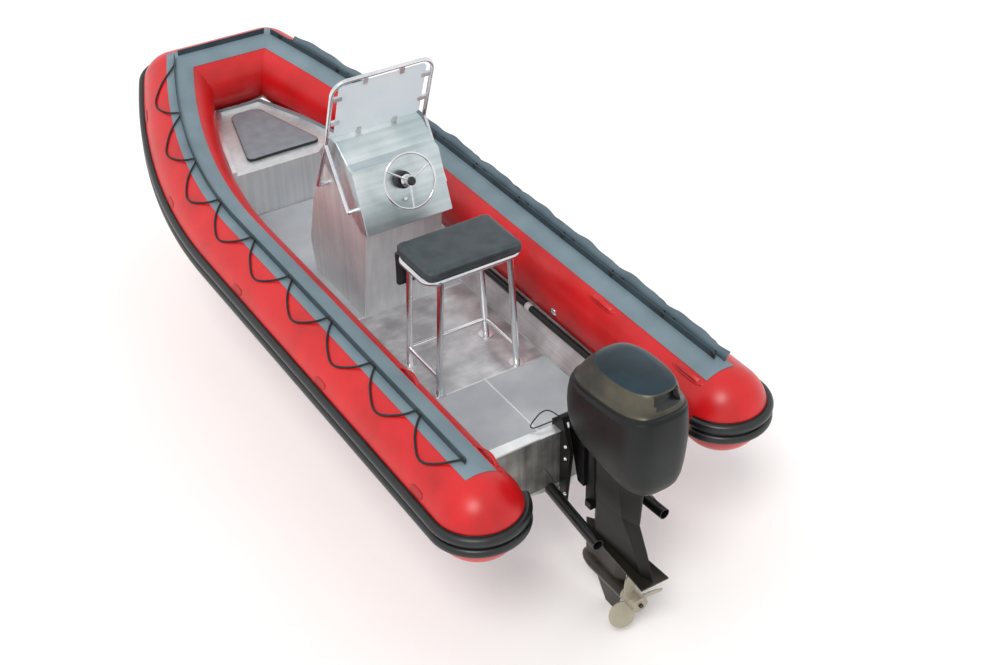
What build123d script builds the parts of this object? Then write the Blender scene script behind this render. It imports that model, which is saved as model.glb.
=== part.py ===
from build123d import *
from math import asin, atan2, cos, degrees, hypot, radians, sin
import os

os.makedirs("parts", exist_ok=True)

# Rigid inflatable boat, in millimetres. +X is forward, +Y is port and +Z is up. The origin is on
# the waterline and the centreline, at the aft face of the transom.

# Fits shared by every piece
seat_gap = 0.3
running_gap = 0.05
overrun = 20.0

# Buoyancy tubes: the side chambers run straight, then bend inwards and upwards to the bow
# shoulders, where a short cross chamber closes the bow with two mitred seams
tube_radius = 241.0
tube_spacing = 760.0
tube_height = 274.0
tube_aft = -240.0
bend_start = 2515.0
shoulder_x = 4438.0
shoulder_spacing = 339.0
shoulder_rise = 242.0

# Wear patch, lacing fin and rub strake, by angle round the tube, from straight outboard
patch_thick = 3.0
patch_outer_deg = 75.5
patch_inner_deg = 119.0
fin_deg = 89.0
fin_height = 42.0
fin_thick = 5.0
fin_aft = -150.0
fin_corner_gap = 22.0
strake_deg = 15.5
strake_thick = 8.0
rib_out = 24.0
rib_half = 27.0
rib_deg = 8.0
strake_wrap_deg = 168.0

# Deck
deck_z = -15.0
deck_plate = 5.0
deck_half = 447.0
panel_gap = 6.0
deck_seam_y = -25.0
aft_panel_end = 960.0
mid_panel_end = 1890.0
fore_panel_end = 3340.0
fore_panel_half = 430.0

# Hull: vee bottom with a chine each side, under a shelf that the tubes sit on
# Columns: x, keel z, chine y, chine z, shelf y, shelf z, gutter y, gutter z, floor y, floor z
floor_z = deck_z - deck_plate
hull_rows = [
    (0.0, -220.0, 600.0, 0.0, 690.0, 60.0, 575.0, 155.0, 447.0, floor_z),
    (2515.0, -220.0, 600.0, 0.0, 690.0, 60.0, 575.0, 155.0, 447.0, floor_z),
    (3345.0, -200.0, 560.0, 5.0, 620.0, 100.0, 520.0, 180.0, 447.0, floor_z),
    (3850.0, -150.0, 450.0, 10.0, 500.0, 165.0, 430.0, 240.0, 335.0, floor_z),
    (4245.0, -100.0, 260.0, 0.0, 320.0, 262.0, 265.0, 290.0, 180.0, floor_z),
    (4420.0, 60.0, 60.0, 140.0, 90.0, 225.0, 75.0, 255.0, 50.0, 250.0),
]
# The aft end below the transom is cut away forwards, along a shallow vee
stern_cut_keel_z = -78.0
stern_cut_rise = 110.0
stern_cut_half = 720.0
stern_cut_depth = 260.0

# Transom with its welded knees, and its cap in three lengths
transom_thick = 45.0
transom_top = 330.0
cap_height = 12.0
cap_lip = 10.0
cap_half = 620.0
pad_half = 240.0
pad_cap_height = 6.0
knee_thick = 10.0
knee_depth = 180.0
knee_places = (150.0, 360.0)

# Bow locker, set in between the tubes, with its coaming and pad
locker_aft_x = 3353.0
locker_middle_x = 3850.0
locker_bow_reach = 40.0
locker_side_gap = 7.0
locker_bow_gap = 14.0
locker_top = 320.0
locker_wall = 4.0
coaming_width = 30.0
coaming_height = 30.0
pad_aft_x = 3530.0
pad_fore_x = 4110.0
pad_aft_half = 245.0
pad_fore_half = 95.0
pad_thick = 28.0
pad_corner = 28.0

# Console: body and overhanging dash, as side outlines from the lower aft corner forwards
sheet = 5.0
body_half = 260.0
dash_half = 285.0
lip_x = 1795.0
lip_z = 640.0
brow_x = 2289.0
brow_z = 961.0
dash_top_x = 2110.0
dash_top_z = 1135.0
# Columns: x, z
body_outline = [
    (1888.0, deck_z + seat_gap),
    (2556.0, deck_z + seat_gap),
    (2590.0, 200.0),
    (2495.0, 517.0),
    (brow_x, brow_z),
    (lip_x, lip_z),
]
# Columns: x, z, from the lip up the helm panel, forwards over the shelf and down to the brow
dash_outline = [
    (1717.0, 662.0),
    (1857.0, 1019.0),
    (1915.0, 1040.0),
    (2037.0, 1127.0),
    (dash_top_x, dash_top_z),
    (brow_x, brow_z + 2 * seat_gap),
    (lip_x, lip_z + 2 * seat_gap),
]

# Windscreen and its bent tube frame
screen_tube = 25.0
screen_half = 324.0
screen_inset = 25.0
screen_sink = 23.0
screen_lean = 159.0
screen_rise = 440.0
screen_corner = 90.0
screen_leg_drop = 348.0
screen_leg_fore = 162.0
screen_leg_aft = 220.0
standoff_radius = 14.0
glass_thick = 6.0
glass_half = 280.0
glass_corner = 30.0
glass_low_share = 0.1
glass_top_share = 0.93
clip_width = 28.0
clip_grip = 24.0
clip_thick = 9.0
clip_up_shares = (0.34, 0.74)
clip_across_shares = (-0.21, 0.21)

# Helm: pump on the panel, wheel with three spokes, key switch
wheel_radius = 160.0
wheel_tube = 14.0
wheel_offset = 126.0
wheel_up_panel_share = 0.69
hub_radius = 28.0
hub_length = 42.0
hub_dome_share = 0.5
helm_radius = 52.0
helm_length = 52.0
helm_bevel_share = 0.25
shaft_radius = 11.0
spoke_radius = 5.5
spoke_count = 3
spoke_start_deg = 35.0
key_radius = 12.0
key_length = 16.0
key_down = 118.0

# Helm seat
seat_tube = 38.0
seat_fore_x = 1335.0
seat_aft_x = 990.0
seat_half = 300.0
seat_bend = 76.0
seat_ring_z = 738.0
feet_fore_x = 1335.0
feet_aft_x = 997.0
feet_half = 262.0
rail_z = 100.0
rail_share = 0.8
flange_radius = 46.0
flange_thick = 8.0
cushion_thick = 62.0
cushion_corner = 40.0
front_pad_drop = 230.0
front_pad_thick = 26.0

# Conduit on the starboard side plating
conduit_radius = 22.0
conduit_aft_x = 1250.0
conduit_fore_x = 2150.0
conduit_up_share = 0.75

# Rigging hose from the conduit to the transom
hose_radius = 21.0
hose_arc_share = 0.45
# Columns: x, y, z
hose_route = [
    (1249.7, -525.0, 124.4),
    (1010.0, -525.5, 127.0),
    (760.0, -524.0, 134.0),
    (500.0, -514.0, 148.0),
    (260.0, -492.0, 172.0),
    (51.0, -456.0, 212.0),
]

# Drain trunks
trunk_radius = 31.0
trunk_wall = 4.0
trunk_y = 172.0
trunk_z = -36.0
trunk_end_x = -490.0
trunk_end_y = 210.0

# Engine mounting
tilt_x = 0.0
tilt_z = 400.0
tilt_pin_radius = 16.0
swivel_x = -150.0
clamp_half = 112.0
clamp_thick = 22.0
clamp_reach = 95.0
clamp_hook = 18.0
clamp_head = 26.0
clamp_low_z = -130.0
clamp_front_z = 240.0
swivel_radius = 40.0
swivel_top_z = 300.0
swivel_low_z = -60.0
web_share = 0.7
web_fore_share = 0.2
web_gap = 6.0
steer_radius = 20.0
mount_thick = 40.0
mount_half = 52.0

# Engine leg. Columns: z, fore x, aft x, half width
leg_rows = [
    (470.0, -200.0, -590.0, 92.0),
    (220.0, -200.0, -564.0, 66.0),
    (34.0, -200.0, -550.0, 50.0),
    (-100.0, -200.0, -622.0, 42.0),
    (-245.0, -190.0, -685.0, 36.0),
]
leg_nose_share = 0.5
leg_tail_share = 0.75
leg_edge_share = 0.08

# Gearcase and propeller
plate_half = 86.0
plate_fore_share = 0.6
plate_fore_x = -150.0
plate_aft_x = -702.0
plate_thick = 10.0
shaft_z = -492.0
gear_radius = 54.0
gear_nose_x = -88.0
gear_fore_x = -200.0
gear_aft_x = -478.0
fin_half = 24.0
fin_edge = 2.0
# Columns: z, nose x, fore x, aft x, tail x
gear_fin_rows = [
    (-250.0, -95.0, -130.0, -400.0, -470.0),
    (-492.0, -100.0, -135.0, -390.0, -450.0),
]
skeg_z = -700.0
skeg_half = 6.0
# Columns: x, share of the way down the skeg
skeg_outline = [
    (-150.0, 0.0),
    (-300.0, 1.0),
    (-390.0, 1.0),
    (-440.0, 0.1),
]
prop_radius = 185.0
prop_hub_radius = 50.0
prop_hub_aft_radius = 46.0
prop_length = 114.0
prop_gap = 2.0
prop_shaft_radius = 12.0
prop_nut_length = 12.0
blade_thick = 7.0
blade_count = 3
blade_start_deg = 73.0
blade_pitch_deg = 34.0
blade_width_share = 0.36
blade_root_share = 0.6
blade_place_share = 0.48

# Cowl. Columns: z, fore x, aft x, half width, corner radius
cowl_lower_rows = [
    (335.0, -115.0, -700.0, 156.0, 130.0),
    (450.0, -90.0, -728.0, 182.0, 160.0),
    (520.0, -76.0, -730.0, 192.0, 178.0),
    (570.0, -74.0, -738.0, 198.0, 186.0),
]
cowl_upper_rows = [
    (570.0, -74.0, -738.0, 198.0, 186.0),
    (710.0, -76.0, -742.0, 204.0, 190.0),
    (850.0, -125.0, -728.0, 190.0, 172.0),
    (960.0, -222.0, -702.0, 146.0, 136.0),
]
cowl_cap_rows = [
    (960.0, -222.0, -702.0, 146.0, 136.0),
    (980.0, -248.0, -682.0, 128.0, 120.0),
    (993.0, -305.0, -630.0, 82.0, 75.0),
]
cowl_floor_x = -80.0
cowl_floor_z = 460.0
cowl_floor_deg = 10.5
intake_half = 90.0
intake_low_z = 872.0
intake_high_z = 936.0
intake_depth = 40.0


def save(shape, name):
    shape.label = name
    export_step(shape, f"parts/{name}.step")
    return shape


def mirrored(shape):
    return mirror(shape, about=Plane.XZ)


def both_sides(shape, name):
    save(shape, f"{name}_port")
    save(mirrored(shape), f"{name}_starboard")


def side_face(points, y_place):
    """A side outline, in x and z, that stands on the plane y = y_place."""
    face = make_face(Polyline(*points, close=True))
    return Plane(origin=(0, y_place, 0), x_dir=(1, 0, 0), z_dir=(0, -1, 0)) * face


def side_plate(points, y_middle, thick):
    return extrude(side_face(points, y_middle), amount=thick / 2, both=True)


def rod(start, end, radius):
    start, end = Vector(*start), Vector(*end)
    along = end - start
    return extrude(Plane(origin=start, z_dir=along) * Circle(radius), amount=along.length)


def drum(x, y, z, radius, length):
    """A drum whose axis runs along Y."""
    return Pos(x, y, z) * Rot(90, 0, 0) * Cylinder(radius, length)


def block(low, high):
    """A box between two opposite corners."""
    low, high = Vector(*low), Vector(*high)
    size = high - low
    middle = (low + high) / 2
    return Pos(middle.X, middle.Y, middle.Z) * Box(size.X, size.Y, size.Z)


# Path of the side tubes: a straight run, then an arc in a plane that leans inwards
inward = tube_spacing - shoulder_spacing
lean_rad = atan2(shoulder_rise, inward)
bend_run = shoulder_x - bend_start
bend_rad = 2 * atan2(hypot(inward, shoulder_rise), bend_run)
bend_radius = bend_run / sin(bend_rad)
shoulder_z = tube_height + shoulder_rise
ahead = Vector(1, 0, 0)
sideways = Vector(0, -cos(lean_rad), sin(lean_rad))
bend_point = Vector(bend_start, tube_spacing, tube_height)
bend_axis = Axis(bend_point + sideways * bend_radius, ahead.cross(sideways))
shoulder = Vector(shoulder_x, shoulder_spacing, shoulder_z)


def turned(vector):
    """A direction of the straight run, carried round the bend to the shoulder."""
    normal = ahead.cross(sideways)
    a, b, c = vector.dot(ahead), vector.dot(sideways), vector.dot(normal)
    new_a = a * cos(bend_rad) - b * sin(bend_rad)
    new_b = a * sin(bend_rad) + b * cos(bend_rad)
    return ahead * new_a + sideways * new_b + normal * c


shoulder_out = turned(Vector(0, 1, 0))
mitre_normal = (turned(ahead) + Vector(0, -1, 0)).normalized()
bow_out = shoulder_out - mitre_normal * (2 * shoulder_out.dot(mitre_normal))
corner_axis = Axis(shoulder, turned(ahead).cross(Vector(0, -1, 0)))
corner_deg = turned(ahead).get_angle(Vector(0, -1, 0))
shoulder_plane = Plane(origin=shoulder, x_dir=shoulder_out, z_dir=turned(ahead))
bow_plane = Plane(origin=(shoulder_x, 0, shoulder_z), x_dir=bow_out, z_dir=(0, -1, 0))


def mitre_plane(shift, side):
    """The seam plane of one bow corner, moved along the seam's normal towards the bow."""
    point = shoulder + mitre_normal * shift
    normal = (mitre_normal.X, side * mitre_normal.Y, mitre_normal.Z)
    return Plane(origin=(point.X, side * point.Y, point.Z), z_dir=normal)


def to_shoulder(profile, start_x):
    """A profile of the tube's section, carried from start_x along the port side to the shoulder."""
    start = Plane(origin=(start_x, tube_spacing, tube_height), x_dir=(0, 1, 0), z_dir=(1, 0, 0))
    at_bend = Plane(origin=bend_point, x_dir=(0, 1, 0), z_dir=(1, 0, 0))
    straight = extrude(start * profile, amount=bend_start - start_x)
    return straight + revolve(at_bend * profile, axis=bend_axis, revolution_arc=degrees(bend_rad))


def side_run(profile, start_x, corner_gap=0.0, corner=None):
    """The same, carried on to the seam, or closed there by a corner piece."""
    if corner is None:
        corner = extrude(shoulder_plane * profile, amount=2 * tube_radius)
    run = to_shoulder(profile, start_x) + corner
    return split(run, bisect_by=mitre_plane(-corner_gap, 1), keep=Keep.BOTTOM)


def bow_run(profile, corner_gap=0.0, corner=None):
    """A profile of the tube's section, carried across the bow between the two seams."""
    if corner is None:
        run = extrude(bow_plane * profile, amount=shoulder_spacing + 2 * tube_radius, both=True)
    else:
        run = extrude(bow_plane * profile, amount=shoulder_spacing, both=True)
        run = run + corner + mirrored(corner)
    run = split(run, bisect_by=mitre_plane(corner_gap, 1), keep=Keep.TOP)
    return split(run, bisect_by=mitre_plane(corner_gap, -1), keep=Keep.TOP)


def stern_turn(profile, turn_deg):
    """A profile turned round the tube's rounded stern end, from straight outboard."""
    plane = Plane(origin=(tube_aft, tube_spacing, tube_height), x_dir=(0, 1, 0), z_dir=(1, 0, 0))
    axis = Axis((tube_aft, tube_spacing, tube_height), (0, 0, 1))
    return revolve(plane * profile, axis=axis, revolution_arc=turn_deg)


def band(inner, thick, start_deg, end_deg):
    """Part of a ring round the tube's centre, between two angles."""
    outer = inner + thick
    size = end_deg - start_deg
    first = Vector(cos(radians(start_deg)), sin(radians(start_deg)))
    last = Vector(cos(radians(end_deg)), sin(radians(end_deg)))
    edges = [
        CenterArc((0, 0), inner, start_deg, size),
        Line(last * inner, last * outer),
        CenterArc((0, 0), outer, start_deg, size),
        Line(first * outer, first * inner),
    ]
    return make_face(edges)


# Tube chambers with round bow corners, each side one with a round stern end
tube_corner = Pos(*shoulder) * Sphere(tube_radius)
side_tube = side_run(Circle(tube_radius), tube_aft, corner=tube_corner)
for side, tube, name in ((1, side_tube, "port"), (-1, mirrored(side_tube), "starboard")):
    stern_ball = Pos(tube_aft, side * tube_spacing, tube_height) * Sphere(tube_radius)
    stern_half = split(stern_ball, bisect_by=Plane.YZ.offset(tube_aft), keep=Keep.BOTTOM)
    save(tube + stern_half, f"tube_{name}")
save(bow_run(Circle(tube_radius), corner=tube_corner), "tube_bow")

# Wear patches
patch_foot = tube_radius + seat_gap
patch = band(patch_foot, patch_thick, patch_outer_deg, patch_inner_deg)
both_sides(side_run(patch, tube_aft), "wear_patch")
save(bow_run(patch), "wear_patch_bow")

# Lacing fins that stand on the patches
fin_middle = patch_foot + patch_thick + seat_gap + fin_height / 2
fin = Rot(0, 0, fin_deg) * Pos(fin_middle, 0) * Rectangle(fin_height, fin_thick)
both_sides(side_run(fin, fin_aft, fin_corner_gap), "lacing_fin")
save(bow_run(fin, fin_corner_gap), "lacing_fin_bow")

# Rub strakes: a backing strip with two round ribs
ribs = Sketch()
for angle in (-rib_deg, rib_deg):
    ribs += Rot(0, 0, angle) * Pos(patch_foot + strake_thick, 0) * Ellipse(rib_out, rib_half)
strake = (band(patch_foot, strake_thick, -strake_deg, strake_deg) + ribs) - Circle(patch_foot)
strake_side = to_shoulder(strake, tube_aft) + stern_turn(strake, strake_wrap_deg)
both_sides(strake_side, "rub_strake")
strake_corner = revolve(shoulder_plane * strake, axis=corner_axis, revolution_arc=corner_deg)
strake_bow = extrude(bow_plane * strake, amount=shoulder_spacing, both=True)
save(strake_bow + strake_corner + mirrored(strake_corner), "rub_strake_bow")

# Room that the side tubes take out of the hull and the deck fittings
tube_seat = side_run(Circle(patch_foot), tube_aft)


def clear_of_tubes(shape):
    return shape - tube_seat - mirrored(tube_seat)


# Hull
def hull_face(row):
    x, keel_z, chine_y, chine_z, shelf_y, shelf_z, gutter_y, gutter_z, floor_y, floor = row
    port = [(chine_y, chine_z), (shelf_y, shelf_z), (gutter_y, gutter_z), (floor_y, floor)]
    starboard = [(-y, z) for y, z in reversed(port)]
    plane = Plane(origin=(x, 0, 0), x_dir=(0, 1, 0), z_dir=(1, 0, 0))
    return plane * make_face(Polyline((0, keel_z), *port, *starboard, close=True))


hull = clear_of_tubes(loft([hull_face(row) for row in hull_rows], ruled=True))
stern_cut_side_z = stern_cut_keel_z + stern_cut_rise
stern_cut = [
    (0, stern_cut_keel_z),
    (stern_cut_half, stern_cut_side_z),
    (stern_cut_half, -stern_cut_depth),
    (-stern_cut_half, -stern_cut_depth),
    (-stern_cut_half, stern_cut_side_z),
]
stern_plane = Plane(origin=(-overrun, 0, overrun), x_dir=(0, 1, 0), z_dir=(1, 0, 0))
stern_face = stern_plane * make_face(Polyline(*stern_cut, close=True))
stern_wedge = extrude(stern_face, amount=stern_cut_depth, dir=(1, 0, -1))
slot_end = transom_thick + seat_gap
slot_high = (slot_end, stern_cut_half, transom_top)
transom_slot = block((-overrun, -stern_cut_half, floor_z), slot_high)
save(hull - stern_wedge - transom_slot, "hull")

# Transom, cut to the hull's section, with knees behind it
keel_z, chine_y, chine_z, shelf_y, shelf_z = hull_rows[0][1:6]
transom_low = floor_z + seat_gap
transom_low_half = chine_y * (transom_low - keel_z) / (chine_z - keel_z)
transom_port = [
    (transom_low_half, transom_low),
    (chine_y, chine_z),
    (shelf_y, shelf_z),
    (shelf_y, transom_top),
]
transom_starboard = [(-y, z) for y, z in reversed(transom_port)]
transom_face = Plane.YZ * make_face(Polyline(*transom_port, *transom_starboard, close=True))
transom = clear_of_tubes(extrude(transom_face, amount=transom_thick)) - stern_wedge
knee_outline = [
    (transom_thick, deck_z + seat_gap),
    (transom_thick + knee_depth, deck_z + seat_gap),
    (transom_thick, transom_top - cap_lip),
]
for place in knee_places:
    transom += side_plate(knee_outline, place, knee_thick)
    transom += side_plate(knee_outline, -place, knee_thick)
save(transom, "transom")
cap_z = transom_top + seat_gap
cap_fore = transom_thick + cap_lip
cap = block((-cap_lip, pad_half + seat_gap, cap_z), (cap_fore, cap_half, cap_z + cap_height))
cap = clear_of_tubes(cap + mirrored(cap))
pad_cap_top = cap_z + pad_cap_height
pad_cap = block((-cap_lip, -pad_half, cap_z), (cap_fore, pad_half, pad_cap_top))
save(cap + pad_cap, "transom_cap")

# Deck panels, laid on the hull
panel_start = slot_end + panel_gap
# Columns: name, aft x, fore x, starboard y, port y
panel_rows = [
    ("aft_port", panel_start, aft_panel_end, deck_seam_y + panel_gap, deck_half),
    ("aft_starboard", panel_start, aft_panel_end, -deck_half, deck_seam_y),
    ("middle", aft_panel_end + panel_gap, mid_panel_end, -deck_half, deck_half),
    ("forward", mid_panel_end + panel_gap, fore_panel_end, -fore_panel_half, fore_panel_half),
]
for name, aft_x, fore_x, low_y, high_y in panel_rows:
    save(block((aft_x, low_y, floor_z + seat_gap), (fore_x, high_y, deck_z)), f"deck_{name}")


# Bow locker: a hollow box that narrows forwards, with a raised coaming along its sides and bow
def tube_side(x):
    """The half width between the side tubes at x, at the height of their centres."""
    turn = asin((x - bend_start) / bend_radius)
    return tube_spacing - bend_radius * (1 - cos(turn)) * cos(lean_rad) - tube_radius


locker_fore_x = shoulder_x - tube_radius + locker_bow_reach
# Columns: x, half width
locker_rows = [
    (locker_aft_x, tube_side(locker_aft_x) - locker_side_gap),
    (locker_middle_x, tube_side(locker_middle_x) - locker_side_gap),
    (locker_fore_x, tube_side(locker_fore_x) - locker_bow_gap),
]


def locker_outline(inset):
    fore_x = locker_fore_x
    port = [(min(x, fore_x - inset), half - inset) for x, half in locker_rows]
    starboard = [(x, -y) for x, y in reversed(port)]
    return make_face(Polyline(*port, *starboard, close=True))


locker_aft = locker_rows[0][0]
locker_low = floor_z + seat_gap
locker_rise = locker_top - locker_low
locker_plane = Plane.XY.offset(locker_low)
locker = extrude(locker_plane * locker_outline(0), amount=locker_rise)
room = extrude(locker_plane * locker_outline(locker_wall), amount=locker_rise - locker_wall)
aft_wall_high = (locker_aft + locker_wall, deck_half, locker_top)
room = room - block((locker_aft, -deck_half, locker_low), aft_wall_high)
save(clear_of_tubes(locker - room), "bow_locker")
coaming_plane = Plane.XY.offset(locker_top + seat_gap)
coaming_ring = locker_outline(0) - locker_outline(coaming_width)
coaming = extrude(coaming_plane * coaming_ring, amount=coaming_height)
save(clear_of_tubes(coaming), "bow_coaming")
pad_corners = [
    (pad_aft_x, pad_aft_half),
    (pad_fore_x, pad_fore_half),
    (pad_fore_x, -pad_fore_half),
    (pad_aft_x, -pad_aft_half),
]
pad_face = make_face(Polyline(*pad_corners, close=True))
pad_face = fillet(pad_face.vertices(), pad_corner)
save(extrude(coaming_plane * pad_face, amount=pad_thick), "bow_pad")


# Console: hollow sheet boxes
def hollow(points, half):
    outer = extrude(side_face(points, half), amount=2 * half)
    inner_face = offset(side_face(points, half - sheet), amount=-sheet)
    return outer - extrude(inner_face, amount=2 * (half - sheet))


save(hollow(body_outline, body_half), "console_body")
save(hollow(dash_outline, dash_half), "console_dash")
dash_room = offset(side_face(dash_outline, dash_half), amount=seat_gap)
dash_room = extrude(dash_room, amount=2 * dash_half)

# Helm on the sloping panel
panel_low = Vector(dash_outline[0][0], 0, dash_outline[0][1])
panel_rise = Vector(dash_outline[1][0], 0, dash_outline[1][1]) - panel_low
panel_up = panel_rise.normalized()
panel_out = Vector(-panel_up.Z, 0, panel_up.X)
helm_point = panel_low + panel_rise * wheel_up_panel_share
helm_plane = Plane(origin=helm_point, x_dir=(0, 1, 0), z_dir=panel_out)
pump = extrude(helm_plane.offset(seat_gap) * Circle(helm_radius), amount=helm_length)
pump_rim = pump.edges().group_by(Axis(helm_point, panel_out))[-1]
pump = fillet(pump_rim, helm_length * helm_bevel_share)
stub_length = wheel_offset - helm_length
stub = extrude(helm_plane.offset(helm_length) * Circle(shaft_radius), amount=stub_length)
save(pump + stub, "helm_pump")
wheel_plane = helm_plane.offset(wheel_offset)
wheel_centre = wheel_plane.origin
hub_back = wheel_plane.offset(-hub_length)
hub = extrude(hub_back * Circle(hub_radius), amount=hub_length * (1 + hub_dome_share))
rim_start = wheel_centre + Vector(0, wheel_radius, 0)
rim_plane = Plane(origin=rim_start, x_dir=(0, 1, 0), z_dir=panel_up)
rim_axis = Axis(wheel_centre, panel_out)
wheel = revolve(rim_plane * Circle(wheel_tube / 2), axis=rim_axis, revolution_arc=360) + hub
for index in range(spoke_count):
    angle = radians(spoke_start_deg + index * 360 / spoke_count)
    spoke_dir = Vector(0, cos(angle), 0) + panel_up * sin(angle)
    wheel += rod(wheel_centre, wheel_centre + spoke_dir * wheel_radius, spoke_radius)
hub_bore = Circle(shaft_radius + running_gap)
save(wheel - extrude(hub_back * hub_bore, amount=hub_length + seat_gap), "steering_wheel")
key_plane = Plane(origin=helm_point - panel_up * key_down, x_dir=(0, 1, 0), z_dir=panel_out)
save(extrude(key_plane.offset(seat_gap) * Circle(key_radius), amount=key_length), "key_switch")

# Windscreen frame: a hoop with two legs a side, stood off the console
screen_foot_x = dash_top_x - screen_inset
screen_foot_z = dash_top_z - screen_sink
screen_top_x = screen_foot_x - screen_lean
screen_top_z = screen_foot_z + screen_rise
screen_leg_z = screen_foot_z - screen_leg_drop
screen_fore_x = screen_foot_x + screen_leg_fore
screen_aft_x = screen_foot_x - screen_leg_aft
hoop_points = [
    (screen_foot_x, screen_half, screen_foot_z),
    (screen_top_x, screen_half, screen_top_z),
    (screen_top_x, -screen_half, screen_top_z),
    (screen_foot_x, -screen_half, screen_foot_z),
]
screen_up = Vector(screen_top_x - screen_foot_x, 0, screen_top_z - screen_foot_z)
hoop_start = Plane(origin=hoop_points[0], z_dir=screen_up) * Circle(screen_tube / 2)
screen_frame = sweep(hoop_start, path=FilletPolyline(*hoop_points, radius=screen_corner))
for side in (-1, 1):
    foot = (screen_foot_x, side * screen_half, screen_foot_z)
    screen_frame += Pos(*foot) * Sphere(screen_tube / 2)
    for leg_x, wall_y in ((screen_fore_x, body_half), (screen_aft_x, dash_half)):
        knob = (leg_x, side * screen_half, screen_leg_z)
        wall = (leg_x, side * (wall_y + seat_gap), screen_leg_z)
        screen_frame += rod(foot, knob, screen_tube / 2)
        screen_frame += rod(knob, wall, standoff_radius)
save(screen_frame, "windscreen_frame")

# Windscreen and its clips
screen_size = screen_up.length
screen_face = Vector(0, 1, 0).cross(screen_up)
screen_foot = (screen_foot_x, 0, screen_foot_z)
screen_plane = Plane(origin=screen_foot, x_dir=(0, 1, 0), z_dir=screen_face)
glass_low = screen_size * glass_low_share
glass_top = screen_size * glass_top_share
glass_outline = RectangleRounded(2 * glass_half, glass_top - glass_low, glass_corner)
glass_face = screen_plane * Pos(0, (glass_low + glass_top) / 2) * glass_outline
save(extrude(glass_face, amount=glass_thick / 2, both=True), "windscreen")
glass_room = extrude(glass_face, amount=glass_thick / 2 + seat_gap, both=True)
frame_half = screen_half - screen_tube / 2 - seat_gap
frame_top = screen_size - screen_tube / 2 - seat_gap
grip_half = glass_half - clip_grip
grip_top = glass_top - clip_grip
grip_low = glass_low + clip_grip
clips = Part()
# Columns: across, up, width, height
clip_rows = []
for share in clip_up_shares:
    for side in (-1, 1):
        across = side * (grip_half + frame_half) / 2
        clip_rows.append((across, screen_size * share, frame_half - grip_half, clip_width))
for share in clip_across_shares:
    across = 2 * glass_half * share
    clip_rows.append((across, (grip_top + frame_top) / 2, clip_width, frame_top - grip_top))
    clip_rows.append((across, grip_low / 2, clip_width, grip_low))
for across, up, width, height in clip_rows:
    clip_face = screen_plane * Pos(across, up) * Rectangle(width, height)
    clips += extrude(clip_face, amount=clip_thick, both=True)
save(clips - glass_room - dash_room, "windscreen_clips")

# Helm seat: bent top ring, four legs on round feet, and three low rails
seat_radius = seat_tube / 2
seat_middle = (seat_fore_x + seat_aft_x) / 2
seat_length = seat_fore_x - seat_aft_x
ring_outline = Pos(seat_middle, 0, seat_ring_z) * RectangleRounded(seat_length, 2 * seat_half, seat_bend)
ring_start = Plane(origin=(seat_fore_x, 0, seat_ring_z), x_dir=(1, 0, 0), z_dir=(0, 1, 0))
seat_frame = sweep(ring_start * Circle(seat_radius), path=ring_outline.face().outer_wire())
foot_z = deck_z + seat_gap
rail_radius = seat_radius * rail_share
for side in (-1, 1):
    for head_x, foot_x in ((seat_fore_x, feet_fore_x), (seat_aft_x, feet_aft_x)):
        head = (head_x, side * (seat_half - seat_bend), seat_ring_z)
        flange_place = Pos(foot_x, side * feet_half, foot_z + flange_thick / 2)
        seat_frame += rod((foot_x, side * feet_half, foot_z + flange_thick), head, seat_radius)
        seat_frame += flange_place * Cylinder(flange_radius, flange_thick)
    side_y = side * feet_half
    seat_frame += rod((feet_aft_x, side_y, rail_z), (feet_fore_x, side_y, rail_z), rail_radius)
seat_frame += rod((feet_fore_x, -feet_half, rail_z), (feet_fore_x, feet_half, rail_z), rail_radius)
save(seat_frame, "seat_frame")
cushion_z = seat_ring_z + seat_radius + seat_gap
cushion_outline = RectangleRounded(seat_length + seat_tube, 2 * seat_half, cushion_corner)
cushion_face = Pos(seat_middle, 0, cushion_z) * cushion_outline
save(extrude(cushion_face, amount=cushion_thick), "seat_cushion")
front_pad_x = seat_fore_x + seat_radius + seat_gap
front_pad_low = (front_pad_x, -seat_half, cushion_z - front_pad_drop)
front_pad_high = (front_pad_x + front_pad_thick, seat_half, cushion_z)
save(block(front_pad_low, front_pad_high), "seat_front_pad")

# Conduit, laid on the sloping plating of the starboard side
gutter_y, gutter_z, floor_y = hull_rows[0][6:9]
slope_foot = Vector(0, -floor_y, floor_z)
slope = Vector(0, -gutter_y, gutter_z) - slope_foot
slope_out = slope.cross(ahead).normalized()
conduit_place = slope_foot + slope * conduit_up_share + slope_out * (conduit_radius + seat_gap)
conduit_aft = conduit_place + ahead * conduit_aft_x
conduit_fore = conduit_place + ahead * conduit_fore_x
save(rod(conduit_aft, conduit_fore, conduit_radius), "conduit")

# Rigging hose: straight runs joined by arcs as large as the runs allow
hose_points = [Vector(*point) for point in hose_route]
hose_runs = [after - before for before, after in zip(hose_points, hose_points[1:])]
hose_radii = []
for before, after in zip(hose_runs, hose_runs[1:]):
    half_turn = radians(before.get_angle(after)) / 2
    shorter = min(before.length, after.length)
    hose_radii.append(hose_arc_share * shorter / (sin(half_turn) / cos(half_turn)))
print("hose radii", [round(radius) for radius in hose_radii])
hose_start = Plane(origin=hose_points[0], z_dir=hose_runs[0]) * Circle(hose_radius)
save(sweep(hose_start, path=FilletPolyline(*hose_points, radius=hose_radii)), "rigging_hose")

# Drain trunks: open hoses from the transom
for side, name in ((1, "port"), (-1, "starboard")):
    start = Vector(0, side * trunk_y, trunk_z)
    end = Vector(trunk_end_x, side * trunk_end_y, trunk_z)
    past = (end - start).normalized() * overrun
    trunk = rod(start - past, end, trunk_radius)
    trunk = trunk - rod(start - past * 2, end + past, trunk_radius - trunk_wall)
    trunk = split(trunk, bisect_by=Plane.YZ.offset(-seat_gap), keep=Keep.BOTTOM)
    save(trunk, f"drain_trunk_{name}")

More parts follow.
